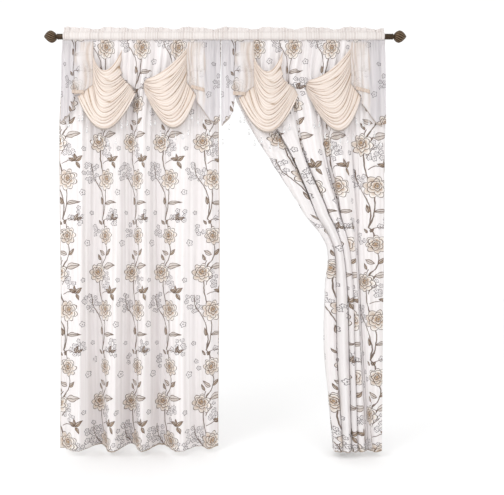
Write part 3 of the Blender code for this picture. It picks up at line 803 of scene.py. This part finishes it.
def leftPanelPlace(share, down):
    z = hungHeight(down, hemZ)
    below = seamZ - z
    fold = min(max(bisect.bisect_right(foldTurns, share) - 1, 0), len(leftFolds) - 2)
    part = (share - foldTurns[fold]) / (foldTurns[fold + 1] - foldTurns[fold])
    (startX, start), (endX, end) = leftFolds[fold], leftFolds[fold + 1]
    forward = mix(start, end, smooth(part))
    hemX = mix(startX, endX, part + clothPlan["foldRound"] * math.sin(2 * math.pi * part)) * mm
    settled = smooth(below / straightStand["settledBy"])
    x = mix(sides["left"]["width"] * share, hemX, settled)
    x += straightStand["sway"] * settled * math.sin(3.1 * z + 11 * share)
    y = -foldDepth(below) * forward * smooth(below / 0.12)
    y -= smallFolds(share, z, settled) + gathersForward(share, below)
    # painted shade in the valleys of the main folds and gathers
    shadeAndOverlock = ((1 - forward) / 2) ** 1.5 * smooth(below / 0.5) * clothPlan["foldShade"]
    shadeAndOverlock += gatherValleyShade(share, below)
    z += straightStand["hemWave"] * math.sin(17 * share) * smooth((down - 0.9) / 0.1)
    # the overlocked side edges show as a tan line
    edge = max(1 - min(share, 1 - share) * clothPlan["columns"], 0.0)
    return Vector((sides["left"]["x"] + x, y, z)), max(shadeAndOverlock, edge)


@functools.lru_cache(maxsize=None)
def sweptRow(z):
    heights = [row[0] for row in sweptSections]
    index = 0
    while index < len(heights) - 2 and z < heights[index + 1]:
        index += 1
    part = min(max((z - heights[index]) / (heights[index + 1] - heights[index]), 0.0), 1.0)
    columns = list(zip(*sweptSections))[1:]
    return [curveThrough(column, index, part) * mm for column in columns]


def rightPanelPlace(share, down):
    z = hungHeight(down, hemZ)
    below = seamZ - z
    valleys = sweptRow(z)
    bands = len(valleys) - 1
    band = min(int(share * bands), bands - 1)
    part = share * bands - band
    width = valleys[band + 1] - valleys[band]
    clothWidth = clothPlan["width"] / bands
    crowding = max(1 - width / clothWidth, 0.0)
    settled, growth = smooth(below / sweptStand["settledBy"]), smooth(below / sweptStand["grownBy"])
    lowerFrom, lowerBy = sweptStand["lowerFrom"], sweptStand["lowerBy"]
    lower = smooth((below - lowerFrom) / (lowerBy - lowerFrom))

    def atStation(name, place):
        return mix(sweptStand["upper" + name][place], sweptStand["lower" + name][place], lower)

    # the front of each fold shows its cloth at true width, and its two walls take the rest behind it
    openings = atStation("Widths", band), atStation("Widths", band + 1)
    front = width * (1 - sum(openings))
    wall = min(max((1 - 1.12 * front / clothWidth) / 2, 0.08), 0.45)
    ahead = smooth(min(part, 1 - part) / wall)
    if part < wall:
        seen = openings[0] * part / wall
    elif part > 1 - wall:
        seen = 1 - openings[1] * (1 - part) / wall
    else:
        seen = mix(openings[0], 1 - openings[1], (part - wall) / (1 - 2 * wall))
    station = band if part < 0.5 else band + 1
    crest = mix(1.0, sweptStand["crests"][band], lower)
    near = atStation("Back", station)
    forward = mix(-near, crest, ahead) + 0.25 * math.sin(math.pi * seen)
    x = mix(sides["right"]["width"] * share, valleys[band] + width * seen, settled)
    hidden = min(max((0.6 - forward) / 1.6, 0.0), 1.0) * growth
    lean = {0: sweptStand["turnedIn"], 2: -sweptStand["leaning"], bands: -sweptStand["turnedIn"]}
    x += lean.get(station, 0.0) * hidden + sweptStand["crumple"] * math.sin(20 * hidden)
    ripple = clothPlan["sweptRipple"] * math.sin(5 * math.pi * part) * growth
    y = -clothPlan["sweptDepth"] * crowding * forward * (0.18 * settled + 0.72 * growth) - ripple
    y -= sweptStand["smallFolds"] * smallFolds(share, z, settled) + gathersForward(share, below)
    # painted shade: in the valleys, more where the cloth goes far back, and on the folds that stand back
    deep = min(max(0.5 + 0.45 * near, 0.0), 0.6 if station in (0, bands) else 1.0)
    shadeAndOverlock = (1 - ahead) * smooth(below / 0.4) * deep + (1 - crest) * 0.3 * ahead
    shadeAndOverlock += gatherValleyShade(share, below)
    return Vector((sides["right"]["x"] + x, y, z)), min(shadeAndOverlock, 1.0)


def makeDrop(side):
    place = {"left": leftPanelPlace, "right": rightPanelPlace}[side]
    start = clothPlan["printStart"][side]
    fall = seamZ - hemZ

    def clothPlace(across, down, point):
        edgeSlip, slip, drift = clothPlan["printSlip"][side]
        swept = smooth((down * fall - clothPlan["slipFrom"]) / clothPlan["slipOver"])
        inner = 1 - smooth(across / clothPlan["slipInner"])
        inward = across * clothPlan["width"] - start + drift * swept * inner
        return inward, seamZ - printRepeat["firstRow"] - down * fall + swept * mix(slip, edgeSlip, inner)

    drop = makeCloth("drop_cloth_" + side, clothPlan["columns"], clothPlan["rows"], place, clothPlace,
                     "printedSatin", "printed_cloth")
    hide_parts("drop_" + side)
    return drop


# The heading: casing and ruffle in one plain cloth, drawn up in small gathers

headingPlan = {
    "columns": 440, "rows": 32,
    "pucker": {"front": 0.0022, "back": 0.0060},     # how far the small gathers stand out of the casing
    "frill": 0.0050,         # how far the ruffle's edge sways
    "fineFrill": 0.0022,     # the same in its small gathers
    "swell": 0.0050,         # how far its edge rises and falls
    "billow": 0.0012,        # how far the casing follows the panel's large gathers
    "seamHeight": 0.0215, "seamWidth": 0.0013,       # the line of stitches between casing and ruffle, and the width of the painted shade along it
    "ruffleFrom": 0.0213, "ruffleBy": 0.0413,        # where the ruffle starts to sway and does so in full
    "gatherShade": 0.7, "seamShade": 0.8,
    "overlap": 0.0016,       # how far the two headings close the gap between the panels
    "inset": -0.005,         # how far short of the panel's outer edge the casing ends
    "profile": (
        # forward (m), height (m), how much the small gathers show
        (0.0012, -0.0202, 0.2), (0.0094, -0.0190, 0.6), (0.0160, -0.0140, 1.0), (0.0200, -0.0045, 0.9),
        (0.0198, 0.0055, 0.9), (0.0150, 0.0140, 1.0), (0.0085, 0.0190, 0.9), (0.0030, 0.0213, 0.3),
        (0.0026, 0.0250, 0.8), (0.0018, 0.0350, 1.2), (0.0010, 0.0425, 1.6), (0.0000, 0.0440, 1.6),
    ),
}


def unevenAt(share):
    # how strong the small gathers are here: most are faint, a few stand out
    turn = 2 * math.pi * share
    return 0.55 + 0.30 * math.sin(5.3 * turn + 1) + 0.25 * math.sin(13.7 * turn)


def makeHeader(side):
    left, width = sides[side]["x"], sides[side]["width"]
    front = headingPlan["profile"]
    back = [(-forward, height, show) for forward, height, show in front[-2::-1]]
    forwards, heights, shows = zip(*front, *back)
    spans = len(forwards) - 1
    girth = sum(math.hypot(forwards[k + 1] - forwards[k], heights[k + 1] - heights[k]) for k in range(spans))

    def place(across, down):
        index = min(int(down * spans), spans - 1)
        part = down * spans - index
        forward = curveThrough(forwards, index, part)
        z = curveThrough(heights, index, part)
        show = mix(shows[index], shows[index + 1], part)
        station = across * clothPlan["gathers"]
        face, outward = ("front", 1) if down < 0.5 else ("back", -1)
        strength = unevenAt(across)
        fine = fineGatherAt(across) * (strength if face == "front" else 1.0)
        start, full = headingPlan["ruffleFrom"], headingPlan["ruffleBy"]
        rise = smooth((z - start) / (full - start))
        pucker = headingPlan["pucker"][face] * show * fine * (1 - rise)
        pucker += headingPlan["billow"] * gatherAt(across)
        sway = headingPlan["frill"] * gatherAt(across)
        sway += headingPlan["fineFrill"] * fineGatherAt(across) * (0.5 + strength)
        y = -forward - outward * pucker - sway * rise
        swell = headingPlan["swell"] * (math.sin(0.57 * station) + 0.56 * math.sin(1.13 * station + 1))
        z += rise * (swell + 0.0004 * fine)
        ends = (headingPlan["inset"], headingPlan["overlap"])
        ends = ends if side == "left" else ends[::-1]
        x = mix(left - ends[0], left + width + ends[1], across)
        # painted shade in the small gathers' valleys and along the line of stitches
        fromSeam = (z - headingPlan["seamHeight"]) / headingPlan["seamWidth"]
        seam = math.exp(-fromSeam ** 2) * (1 - rise) * headingPlan["seamShade"]
        shadeAndOverlock = (strength - fine * outward) / 2 * headingPlan["gatherShade"] + seam
        return Vector((x, y, z)), min(max(shadeAndOverlock, 0.0), 1.0)

    def clothPlace(across, down, point):
        return across * clothPlan["width"], -down * girth

    header = makeCloth("heading_" + side, headingPlan["columns"], headingPlan["rows"] * 2, place, clothPlace,
                       "ivoryHeading", "ivory_heading", thickness=0.0010)
    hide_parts("header_" + side)
    return header


# The valance, laid out in millimetres on the left panel

valancePlan = {
    "layerGap": 0.0026, "pinchGap": 0.0040,          # how far each layer lies before the one behind it (m)
    "depth": (0.0085, 0.012, 0.014),                 # at the seam, what it gains by 10 cm down and by 45 cm
}

leftJabot = (
    # across (mm), lower edge (mm), forward fold (mm)
    (0, -443, 0), (18, -426, 6), (36, -407, -1), (59, -380, 5),
    (66, -304, 1), (96, -300, 4), (126, -276, -1), (158.35, -252, 0),
)
rightJabot = (
    (631.15, -237.5, 0), (655, -266, -1), (680, -299, 4), (684, -339, 1), (706, -366, 5),
    (728, -398, -1), (750, -430, 6), (777, -444, 0), (800, -437, 4),
)
leftSwag = (
    # share down, left end x z, lowest place x z, right end x z (mm)
    (0.00, (158.65, -103), (229, -184), (302, -68)),
    (0.10, (158.65, -120), (229, -207), (291, -139)),
    (0.25, (158.65, -149), (229, -250), (295, -209)),
    (0.50, (158.65, -200), (229, -322), (325, -235)),
    (0.75, (158.65, -253), (229, -398), (348, -256)),
    (1.00, (84, -312), (229, -479), (367, -290)),
)
rightSwag = (
    (0.00, (428, -220), (528, -177), (630.85, -63)),
    (0.25, (422, -240), (533, -250), (630.85, -118)),
    (0.50, (419, -255), (536, -317), (630.85, -179)),
    (0.75, (421, -266), (544, -388), (630.85, -238.5)),
    (1.00, (424, -279), (564, -472), (680, -305)),
)
bandEnds = {
    # left end across and height, right end across and height (mm)
    1: ((58, -288), (118, -291)),
    2: ((655, -262), (721, -281)),
}


def onPanel(side, across, height):
    # from the valance's chart to either panel, in proportion to its width
    stretch = sides[side]["width"] / chartWidth
    return sides[side]["x"] + across * mm * stretch, seamZ + (height * mm - seamZ) * stretch


def valanceDepth(z):
    below = seamZ - z
    atSeam, first, second = valancePlan["depth"]
    return atSeam + first * smooth(below / 0.10) + second * smooth(below / 0.45)


jabotPlan = {
    "columnsPerFold": 10, "rows": 60,
    "crease": 0.0014, "fine": 0.0014,        # depth of the upright creases and of the gathers above them (m)
    "fullness": 1.75,        # flat width of the cloth for each metre of its hung width
    "printStart": 0.038, "printStep": 0.11, "printRise": -0.21,      # where the print lies on each piece (m)
    "facing": {1: 0.30, 2: 0.50},    # how much of the width the satin facing takes
}


def makeJabot(side, number, folds, behind):
    # a side piece folded down its length, its lower edge stepped by the folds
    count = len(folds) - 1

    def place(across, down):
        index = min(int(across * count), count - 1)
        part = across * count - index
        (startX, startEdge, start), (endX, endEdge, end) = folds[index], folds[index + 1]
        x, lower = onPanel(side, mix(startX, endX, part), mix(startEdge, endEdge, part))
        z = hungHeight(down, lower)
        forward = mix(start, end, smooth(part)) * mm * smooth((seamZ - z) / 0.10)
        wave = 9 * across + 0.4 * math.sin(6 * down) + 0.5 * math.sin(5 * across)
        uneven = 0.6 + 0.4 * math.sin(23 * across)
        crease = jabotPlan["crease"] * math.sin(2 * math.pi * wave) * smooth(down / 0.1) * uneven
        fine = jabotPlan["fine"] * math.sin(2 * math.pi * 15 * across) * (1 - smooth(down / 0.35))
        y = -valanceDepth(z) - forward - crease - fine
        if down > 0:
            y = inFront(behind, x, z, y, valancePlan["layerGap"])
        # painted shade, deeper where the folds and creases go back and lighter where they come forward
        shadeAndOverlock = 0.4 - (0.1 * forward + 0.20 * crease + 0.12 * fine) / mm
        return Vector((x, y, z)), min(max(shadeAndOverlock, 0.0), 1.0)

    span = abs(folds[-1][0] - folds[0][0]) * mm * jabotPlan["fullness"]
    start = jabotPlan["printStart"] + jabotPlan["printStep"] * number

    def clothPlace(across, down, point):
        return across * span + start, point.z + jabotPlan["printRise"]

    def facedAt(across, down):
        fromSeam = 1 - across if number == 1 else across
        ragged = 0.05 * math.sin(14 * down) + 0.04 * math.sin(31 * across)
        beyond = fromSeam - jabotPlan["facing"][number] + ragged
        return (1 - smooth(beyond / 0.16)) * smooth(down / 0.08) * (1 - 0.2 * down)

    jabot = makeCloth(f"jabot_cloth_{side}_{number}", jabotPlan["columnsPerFold"] * count, jabotPlan["rows"],
                      place, clothPlace, "sheerPrint", "sheer_print", facedAt=facedAt, thickness=0.0009)
    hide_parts(f"jabot_{side}_{number}")
    return jabot, place


def alongTable(rows, place):
    # the rows before and after a place, and how far between them it lies
    for upper, lower in zip(rows, rows[1:]):
        if place <= lower[0] or lower is rows[-1]:
            return upper, lower, (place - upper[0]) / (lower[0] - upper[0])


swagPlan = {
    "columns": 72, "rows": 200,
    "folds": 14, "ridge": 0.0052, "bulge": 0.042, "roundEnd": 0.006,
    "creaseShare": 0.19,     # width of a crease's painted shade line (share of a fold)
    "roundness": 0.55,       # power of the ridge: 1 is a sharp roof, less is rounder
    "crowding": 0.035, "wander": 0.32, "slant": 0.30,        # how the folds keep off even, level lines
    "fade": 0.8,             # how much of a fold is lost past its own middle
    "fadeFrom": 0.26, "fadeSpread": 0.14, "fadeOver": 0.34, "leastRelief": 0.3,
    "lesserFolds": 1.65,     # small creases for each fold
    "lesser": 0.30,          # their height (share of the ridge)
    "flat": (0.45, 0.62),    # the cloth across and along the folds (m)
}


def makeSwag(side, number, sections, behind, seam):
    # nested hanging folds of satin between the side piece's seam and the gather on the panel
    folds = swagPlan["folds"]

    def place(across, down):
        bowed = down + 0.012 * math.sin(4 * math.pi * down) if 0 < down < 1 else down
        upper, lower, part = alongTable(sections, bowed)
        left, middle, right = (Vector(upper[k]).lerp(Vector(lower[k]), part) for k in (1, 2, 3))
        control = 2 * middle - (left + right) / 2
        flat = left.lerp(control, across).lerp(control.lerp(right, across), across)
        x, z = onPanel(side, flat.x, flat.y)
        loose = math.sin(math.pi * across)
        hang = loose * swagPlan["bulge"] * (0.35 + 0.65 * math.sin(math.pi * (0.1 + 0.75 * down)))
        atSeam = abs(across - seam)
        # each fold is a round ridge with a narrow valley; they crowd at the seam, wander, and some die out
        crowded = down + swagPlan["crowding"] * math.sin(5.0 * down + 2 * atSeam)
        wander = math.sin(2.2 * across + 0.9 * folds * down)
        wander += 0.6 * math.sin(5.1 * across + 2.3 * folds * down)
        phase = folds * crowded + swagPlan["wander"] * wander + swagPlan["slant"] * (across - 0.5)
        fold = math.floor(phase)
        apart = 0.5 - abs(phase - fold - 0.5)
        # even folds are pulled from the seam and odd ones from the panel, and each fades past its own middle
        along = across if (fold % 2) == (seam == 0.0) else 1 - across
        start = swagPlan["fadeFrom"] + swagPlan["fadeSpread"] * math.sin(2.7 * fold)
        fading = 1 - swagPlan["fade"] * smooth((along - start) / swagPlan["fadeOver"])
        ridge = (2 * apart) ** swagPlan["roundness"] * 2 - 1
        turns = swagPlan["lesserFolds"] * folds * down + 1.4 * abs(across - 0.5)
        lesser = math.sin(2 * math.pi * turns)
        caught = min(1.0, 3.6 * loose) ** 0.6
        relief = swagPlan["ridge"] * caught * mix(swagPlan["leastRelief"], 1.0, fading)
        relief *= (ridge + swagPlan["lesser"] * lesser) * smooth(down / 0.04) * smooth((1 - down) / 0.03)
        # the folds stand out of the gathered end as round bulges
        outward = 1 if seam == 0.0 else -1
        bulging = smooth((atSeam - 0.72) / 0.28) * smooth(down / 0.1)
        x += outward * swagPlan["roundEnd"] * (ridge + 0.6) * bulging
        y = -valanceDepth(z) + 0.006 * smooth(atSeam) - hang - relief
        if atSeam > 0.995:
            y = inFront(behind, x, z, 0.0, valancePlan["pinchGap"])
        elif atSeam > 0.005:
            y = inFront(behind, x, z, y, valancePlan["layerGap"])
        # painted shade in each crease, stronger near both ends, at the gathered ends and in the small
        # creases
        crease = 1 - smooth(apart / swagPlan["creaseShare"])
        shadeAndOverlock = crease * fading * (0.8 + 0.4 * abs(2 * across - 1)) + 0.30 * (1 - caught)
        shadeAndOverlock += 0.30 * smooth((-lesser - 0.55) / 0.4) * caught
        return Vector((x, y, z)), min(shadeAndOverlock, 1.0)

    def clothPlace(across, down, point):
        return down * swagPlan["flat"][1], across * swagPlan["flat"][0]

    swag = makeCloth(f"swag_cloth_{side}_{number}", swagPlan["columns"], swagPlan["rows"], place, clothPlace,
                     "creamSatin", "cream_satin", thickness=0.0009)
    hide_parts(f"swag_{side}_{number}")
    return swag, place


bandPlan = {
    "columns": 54, "rows": 10,
    "height": 0.018,
    "gap": 0.0018,           # how far it lies before the cloth behind it (m)
    "openDepth": 0.03,       # how far forward it stands where no cloth is behind it (m)
    "puff": 0.0028, "ruches": 9, "ruche": 0.0013, "ruffledEdge": 0.0008,
    "flat": (0.11, 0.024),   # the cloth along and across it (m)
}


def makeBand(side, number, behind):
    # a narrow ruched tie across the side piece and the swag's first folds
    (startX, startZ), (endX, endZ) = bandEnds[number]

    def place(across, down):
        x, z = onPanel(side, mix(startX, endX, across), mix(startZ, endZ, across))
        z += bandPlan["height"] * (0.5 - down)
        front = frontAt(behind, x, z)
        ruche = math.sin(2 * math.pi * bandPlan["ruches"] * across + 0.8 * math.sin(5 * down))
        y = (front if front is not None else -bandPlan["openDepth"]) - bandPlan["gap"]
        y -= math.sin(math.pi * down) * (bandPlan["puff"] + bandPlan["ruche"] * ruche)
        # painted shade in the valleys of the ruches
        return Vector((x, y, z + bandPlan["ruffledEdge"] * ruche)), 0.45 - 0.35 * ruche

    def clothPlace(across, down, point):
        return across * bandPlan["flat"][0], down * bandPlan["flat"][1]

    band = makeCloth(f"tie_band_{side}_{number}", bandPlan["columns"], bandPlan["rows"], place, clothPlace,
                     "creamSatin", "cream_satin", thickness=0.0010)
    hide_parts(f"band_{side}_{number}")
    return band


# Bead fringe: a trim tape under each lower edge, with clear drops on threads

fringePlan = {
    "pitch": 0.046, "drops": (0.104, 0.062, 0.084),
    "tapeHeight": 0.0068, "tapeThickness": 0.0014, "tapeEnd": 0.006, "tapeGap": 0.0004, "tapeColumns": 80,
    "strandTop": 0.6,        # where a strand starts on the tape (share of its height)
    "threadRadius": 0.0005, "threadSides": 6,
    "roundBead": 0.0032, "beadRise": 0.0025,
    "dropSides": 12,
    "dropProfile": (
        # down (mm), radius (mm) of the clear drop
        (0, 0.0), (0.6, 1.1), (4, 1.7), (9, 3.3), (14, 5.2), (18, 5.9), (21.5, 5.0), (24, 2.8), (25, 0.0),
    ),
}


def edgePlace(edge, x):
    # the point of a lower edge straight below or above x
    for start, end in zip(edge, edge[1:]):
        if start.x <= x <= end.x:
            return start.lerp(end, (x - start.x) / (end.x - start.x))
    return edge[-1] if x > edge[-1].x else edge[0]


def strandPlaces(edge, start, end):
    # strands a pitch apart along the edge itself, their lengths in a repeat of three
    places = []
    travelled, step = 0.0, 0.002
    x, before = start, edgePlace(edge, start)
    while x < end:
        if travelled >= len(places) * fringePlan["pitch"]:
            places.append((x, fringePlan["drops"][len(places) % 3]))
        x += step
        here = edgePlace(edge, x)
        travelled += (here - before).length
        before = here
    return places


def addDrop(shape, top):
    # a clear drop turned about its own upright axis, hung by its top
    profile = fringePlan["dropProfile"]
    line = [shape.verts.new(top + mm * Vector((radius, 0, -down))) for down, radius in profile]
    edges = [shape.edges.new(pair) for pair in zip(line, line[1:])]
    bmesh.ops.spin(shape, geom=line + edges, cent=top, axis=(0, 0, 1), angle=2 * math.pi,
                   steps=fringePlan["dropSides"], use_merge=True)


def makeFringe(side, number, place, startShare, endShare, first, last):
    edge = [place(mix(startShare, endShare, k / 60), 1.0)[0] for k in range(61)]
    start, end = onPanel(side, first, 0)[0], onPanel(side, last, 0)[0]
    strands = strandPlaces(edge, start, end)
    left, right = strands[0][0] - fringePlan["tapeEnd"], strands[-1][0] + fringePlan["tapeEnd"]
    fringe = bmesh.new()
    bmesh.ops.create_grid(fringe, x_segments=fringePlan["tapeColumns"], y_segments=2, size=0.5)
    for vert in fringe.verts:
        spot = edgePlace(edge, mix(left, right, vert.co.x + 0.5))
        drop = (0.5 - vert.co.y) * fringePlan["tapeHeight"]
        vert.co = spot - Vector((0, 0, drop + fringePlan["tapeGap"]))
    bmesh.ops.solidify(fringe, geom=fringe.faces[:], thickness=fringePlan["tapeThickness"])
    finished = set(fringe.faces)
    top = Vector((0, 0, fringePlan["tapeHeight"] * fringePlan["strandTop"]))
    radius, dropLength = fringePlan["threadRadius"], fringePlan["dropProfile"][-1][0] * mm
    for x, length in strands:
        spot, hung = edgePlace(edge, x) - top, length - dropLength
        bmesh.ops.create_cone(fringe, cap_ends=True, segments=fringePlan["threadSides"], radius1=radius,
                              radius2=radius, depth=hung,
                              matrix=Matrix.Translation(spot - Vector((0, 0, hung / 2))))
        thread = set(fringe.faces) - finished
        finished |= thread
        addDrop(fringe, spot - Vector((0, 0, hung)))
        bmesh.ops.create_icosphere(fringe, subdivisions=2, radius=fringePlan["roundBead"],
                                   matrix=Matrix.Translation(
                                       spot - Vector((0, 0, hung - fringePlan["beadRise"]))))
        clear = set(fringe.faces) - finished
        finished |= clear
        for faces, finishNumber in ((thread, 1), (clear, 2)):
            for face in faces:
                face.material_index = finishNumber
    bmesh.ops.remove_doubles(fringe, verts=fringe.verts[:], dist=1e-6)
    bmesh.ops.recalc_face_normals(fringe, faces=fringe.faces[:])
    name = f"bead_fringe_{side}_{number}"
    piece = addPiece(name, toMesh(name, fringe), "trimTape", "whiteThread", "clearAcrylic",
                     slot="clear_bead")
    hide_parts(f"fringe_{side}_{number}")
    print("fringe", side, number, "strands", len(strands))


def measureCloth(piece):
    return sum(face.area for face in piece.data.polygons)


def makePanel(side):
    header = makeHeader(side)
    drop = makeDrop(side)
    behind = surfaceOf(drop)
    print("panel", side, "cloth area", round(measureCloth(drop), 3))
    print("heading", side, "cloth area", round(measureCloth(header), 3))
    firstJabot, firstJabotPlace = makeJabot(side, 1, leftJabot, behind)
    lastJabot, lastJabotPlace = makeJabot(side, 2, rightJabot, behind)
    firstSwag, firstSwagPlace = makeSwag(side, 1, leftSwag, behind, 0.0)
    lastSwag, lastSwagPlace = makeSwag(side, 2, rightSwag, behind, 1.0)
    firstBand = makeBand(side, 1, surfaceOf(firstJabot, firstSwag))
    lastBand = makeBand(side, 2, surfaceOf(lastJabot, lastSwag))
    trims = (
        # cloth's own places, first and last share of its lower edge, first and last strand across (mm)
        (firstJabotPlace, 0.0, 3 / 7, 8, 58),
        (firstSwagPlace, 0.0, 1.0, 92, 345),
        (lastSwagPlace, 0.0, 1.0, 452, 668),
        (lastJabotPlace, 3 / 8, 1.0, 690, 794),
    )
    for number, (place, startShare, endShare, first, last) in enumerate(trims, 1):
        makeFringe(side, number, place, startShare, endShare, first, last)
    for piece, held, rests in (
        (firstJabot, "hung", ["header_" + side]),
        (lastJabot, "hung", ["header_" + side]),
        (firstSwag, "draped", ["jabot_" + side + "_1"]),
        (lastSwag, "draped", ["jabot_" + side + "_2"]),
        (firstBand, "gathered", ["jabot_" + side + "_1"]),
        (lastBand, "gathered", ["jabot_" + side + "_2"]),
    ):
        area = measureCloth(piece)
        print(piece.name, "area", round(area, 4))
        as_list(rests)


# Rod and finials

rodPlan = {"radius": 0.014, "sides": 64, "rubbed": 0.25}
finialPlan = {
    "ribs": 15, "ribDepth": 0.14, "twist": 1.3, "steps": 132,
    "ribsFrom": 0.0095, "ribsRise": 0.010, "ribsFall": 0.012,        # along the ball (m)
    "roundness": 0.6, "rubbedCollar": 0.35,
}
finialProfile = (
    # distance from the rod's end, radius (m)
    (0.0003, 0.0), (0.0003, 0.0130), (0.0009, 0.0145), (0.0038, 0.0145), (0.0046, 0.0135),
    (0.0058, 0.0108), (0.0075, 0.0102), (0.0092, 0.0110), (0.0115, 0.0150), (0.0150, 0.0190),
    (0.0190, 0.0226), (0.0230, 0.0252), (0.0280, 0.0280), (0.0330, 0.0297), (0.0370, 0.0299),
    (0.0420, 0.0290), (0.0480, 0.0264), (0.0540, 0.0224), (0.0590, 0.0182), (0.0640, 0.0132),
    (0.0680, 0.0086), (0.0710, 0.0048), (0.0726, 0.0022), (0.0730, 0.0),
)


def makeRod():
    low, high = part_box("rod")
    turn = Matrix.Rotation(math.pi / 2, 4, "Y")
    rod = bmesh.new()
    rubbed = rod.verts.layers.float.new("rubbed")
    bmesh.ops.create_cone(rod, cap_ends=True, segments=rodPlan["sides"], radius1=rodPlan["radius"],
                          radius2=rodPlan["radius"], depth=high.x - low.x, matrix=turn)
    for vert in rod.verts:
        vert[rubbed] = rodPlan["rubbed"]
    piece = addPiece("rod_tube", toMesh("rod_tube", rod), "antiqueBronze", slot="rod_bronze")
    piece.data.set_sharp_from_angle(angle=math.radians(40))
    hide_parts("rod")


def makeFinial(name, side):
    length = finialProfile[-1][0]
    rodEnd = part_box("rod")[1].x
    ball = bmesh.new()
    rubbed = ball.verts.layers.float.new("rubbed")
    line = [ball.verts.new((out, radius, 0)) for out, radius in finialProfile]
    edges = [ball.edges.new(pair) for pair in zip(line, line[1:])]
    bmesh.ops.spin(ball, geom=line + edges, cent=(0, 0, 0), axis=(1, 0, 0), angle=2 * math.pi,
                   steps=finialPlan["steps"], use_merge=True)
    bmesh.ops.remove_doubles(ball, verts=ball.verts[:], dist=1e-6)
    for vert in ball.verts:
        out, radius = vert.co.x, math.hypot(vert.co.y, vert.co.z)
        rib = smooth((out - finialPlan["ribsFrom"]) / finialPlan["ribsRise"])
        rib *= smooth((length - out) / finialPlan["ribsFall"])
        angle = math.atan2(vert.co.z, vert.co.y)
        ridge = abs(math.cos(finialPlan["ribs"] * angle / 2)) ** finialPlan["roundness"]
        radius *= 1 + finialPlan["ribDepth"] * rib * (ridge - 1)
        angle += side * finialPlan["twist"] * (out / length - 0.5)
        vert[rubbed] = mix(finialPlan["rubbedCollar"], ridge ** 3, rib)
        place = side * (rodEnd + out)
        vert.co = Vector((place, radius * math.cos(angle), radius * math.sin(angle)))
    bmesh.ops.recalc_face_normals(ball, faces=ball.faces[:])
    piece = addPiece(name + "_cast", toMesh(name, ball), "antiqueBronze", slot="rod_bronze")
    piece.data.set_sharp_from_angle(angle=math.radians(50))
    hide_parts(name)


makeRod()
makeFinial("finial_left", -1)
makeFinial("finial_right", 1)
print("rod made")
makePanel("left")
makePanel("right")
print("panels made")


# Stage, light and camera

stagePlan = {
    "floorGap": 0.03,        # the hem clears the floor by this much
    "floorSize": 9, "floorColour": "FAFAFA", "floorRoughness": 0.8,
    "viewWidth": 2.56, "distance": 2.8, "lookHeight": -1.071, "lookAcross": 0.136,
    "worldStrength": 1.06,
    "lightsAim": (0, 0, -1.0),
    "lights": {
        # place, size (m), power (W)
        "key": ((-2.2, -2.6, 0.6), 1.6, 30),
        "fill": ((2.4, -2.8, -0.4), 2.0, 8),
    },
}


def makeStage():
    floor = bmesh.new()
    bmesh.ops.create_grid(floor, x_segments=1, y_segments=1, size=stagePlan["floorSize"])
    bmesh.ops.translate(floor, verts=floor.verts[:], vec=(0, 0, hemZ - stagePlan["floorGap"]))
    mesh = toMesh("floor", floor)
    made, _, shader = newMaterial("paleFloor")
    shader.inputs["Base Color"].default_value = hexColour(stagePlan["floorColour"])
    shader.inputs["Roughness"].default_value = stagePlan["floorRoughness"]
    mesh.materials.append(made)
    piece = bpy.data.objects.new("floor", mesh)
    bpy.context.scene.collection.objects.link(piece)
    piece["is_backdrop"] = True

    world = bpy.data.worlds.new("studio")
    world.use_nodes = True
    sky = world.node_tree.nodes["Background"]
    sky.inputs["Color"].default_value = hexColour("FFFFFF")
    sky.inputs["Strength"].default_value = stagePlan["worldStrength"]
    bpy.context.scene.world = world
    bpy.context.scene.view_settings.view_transform = "Standard"


def addAreaLight(name, place, target, size, power):
    light = bpy.data.lights.new(name, "AREA")
    light.shape = "SQUARE"
    light.size = size
    light.energy = power
    lamp = bpy.data.objects.new(name, light)
    lamp.location = place
    lamp.rotation_euler = (Vector(target) - Vector(place)).to_track_quat("-Z", "Y").to_euler()
    bpy.context.scene.collection.objects.link(lamp)


def addCamera():
    camera = bpy.data.cameras.new("camera")
    camera.sensor_width = 36
    camera.lens = camera.sensor_width * stagePlan["distance"] / stagePlan["viewWidth"]
    stand = bpy.data.objects.new("camera", camera)
    stand.location = (stagePlan["lookAcross"], -stagePlan["distance"], stagePlan["lookHeight"])
    stand.rotation_euler = (math.radians(90), 0, 0)
    bpy.context.scene.collection.objects.link(stand)
    bpy.context.scene.camera = stand


makeStage()
for name, (place, size, power) in stagePlan["lights"].items():
    addAreaLight(name, place, stagePlan["lightsAim"], size, power)
addCamera()
print("stage set")

boxes = {"cad": cadBox, "visual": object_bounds()}
{name: [list(corner) for corner in box] for name, box in boxes.items()}
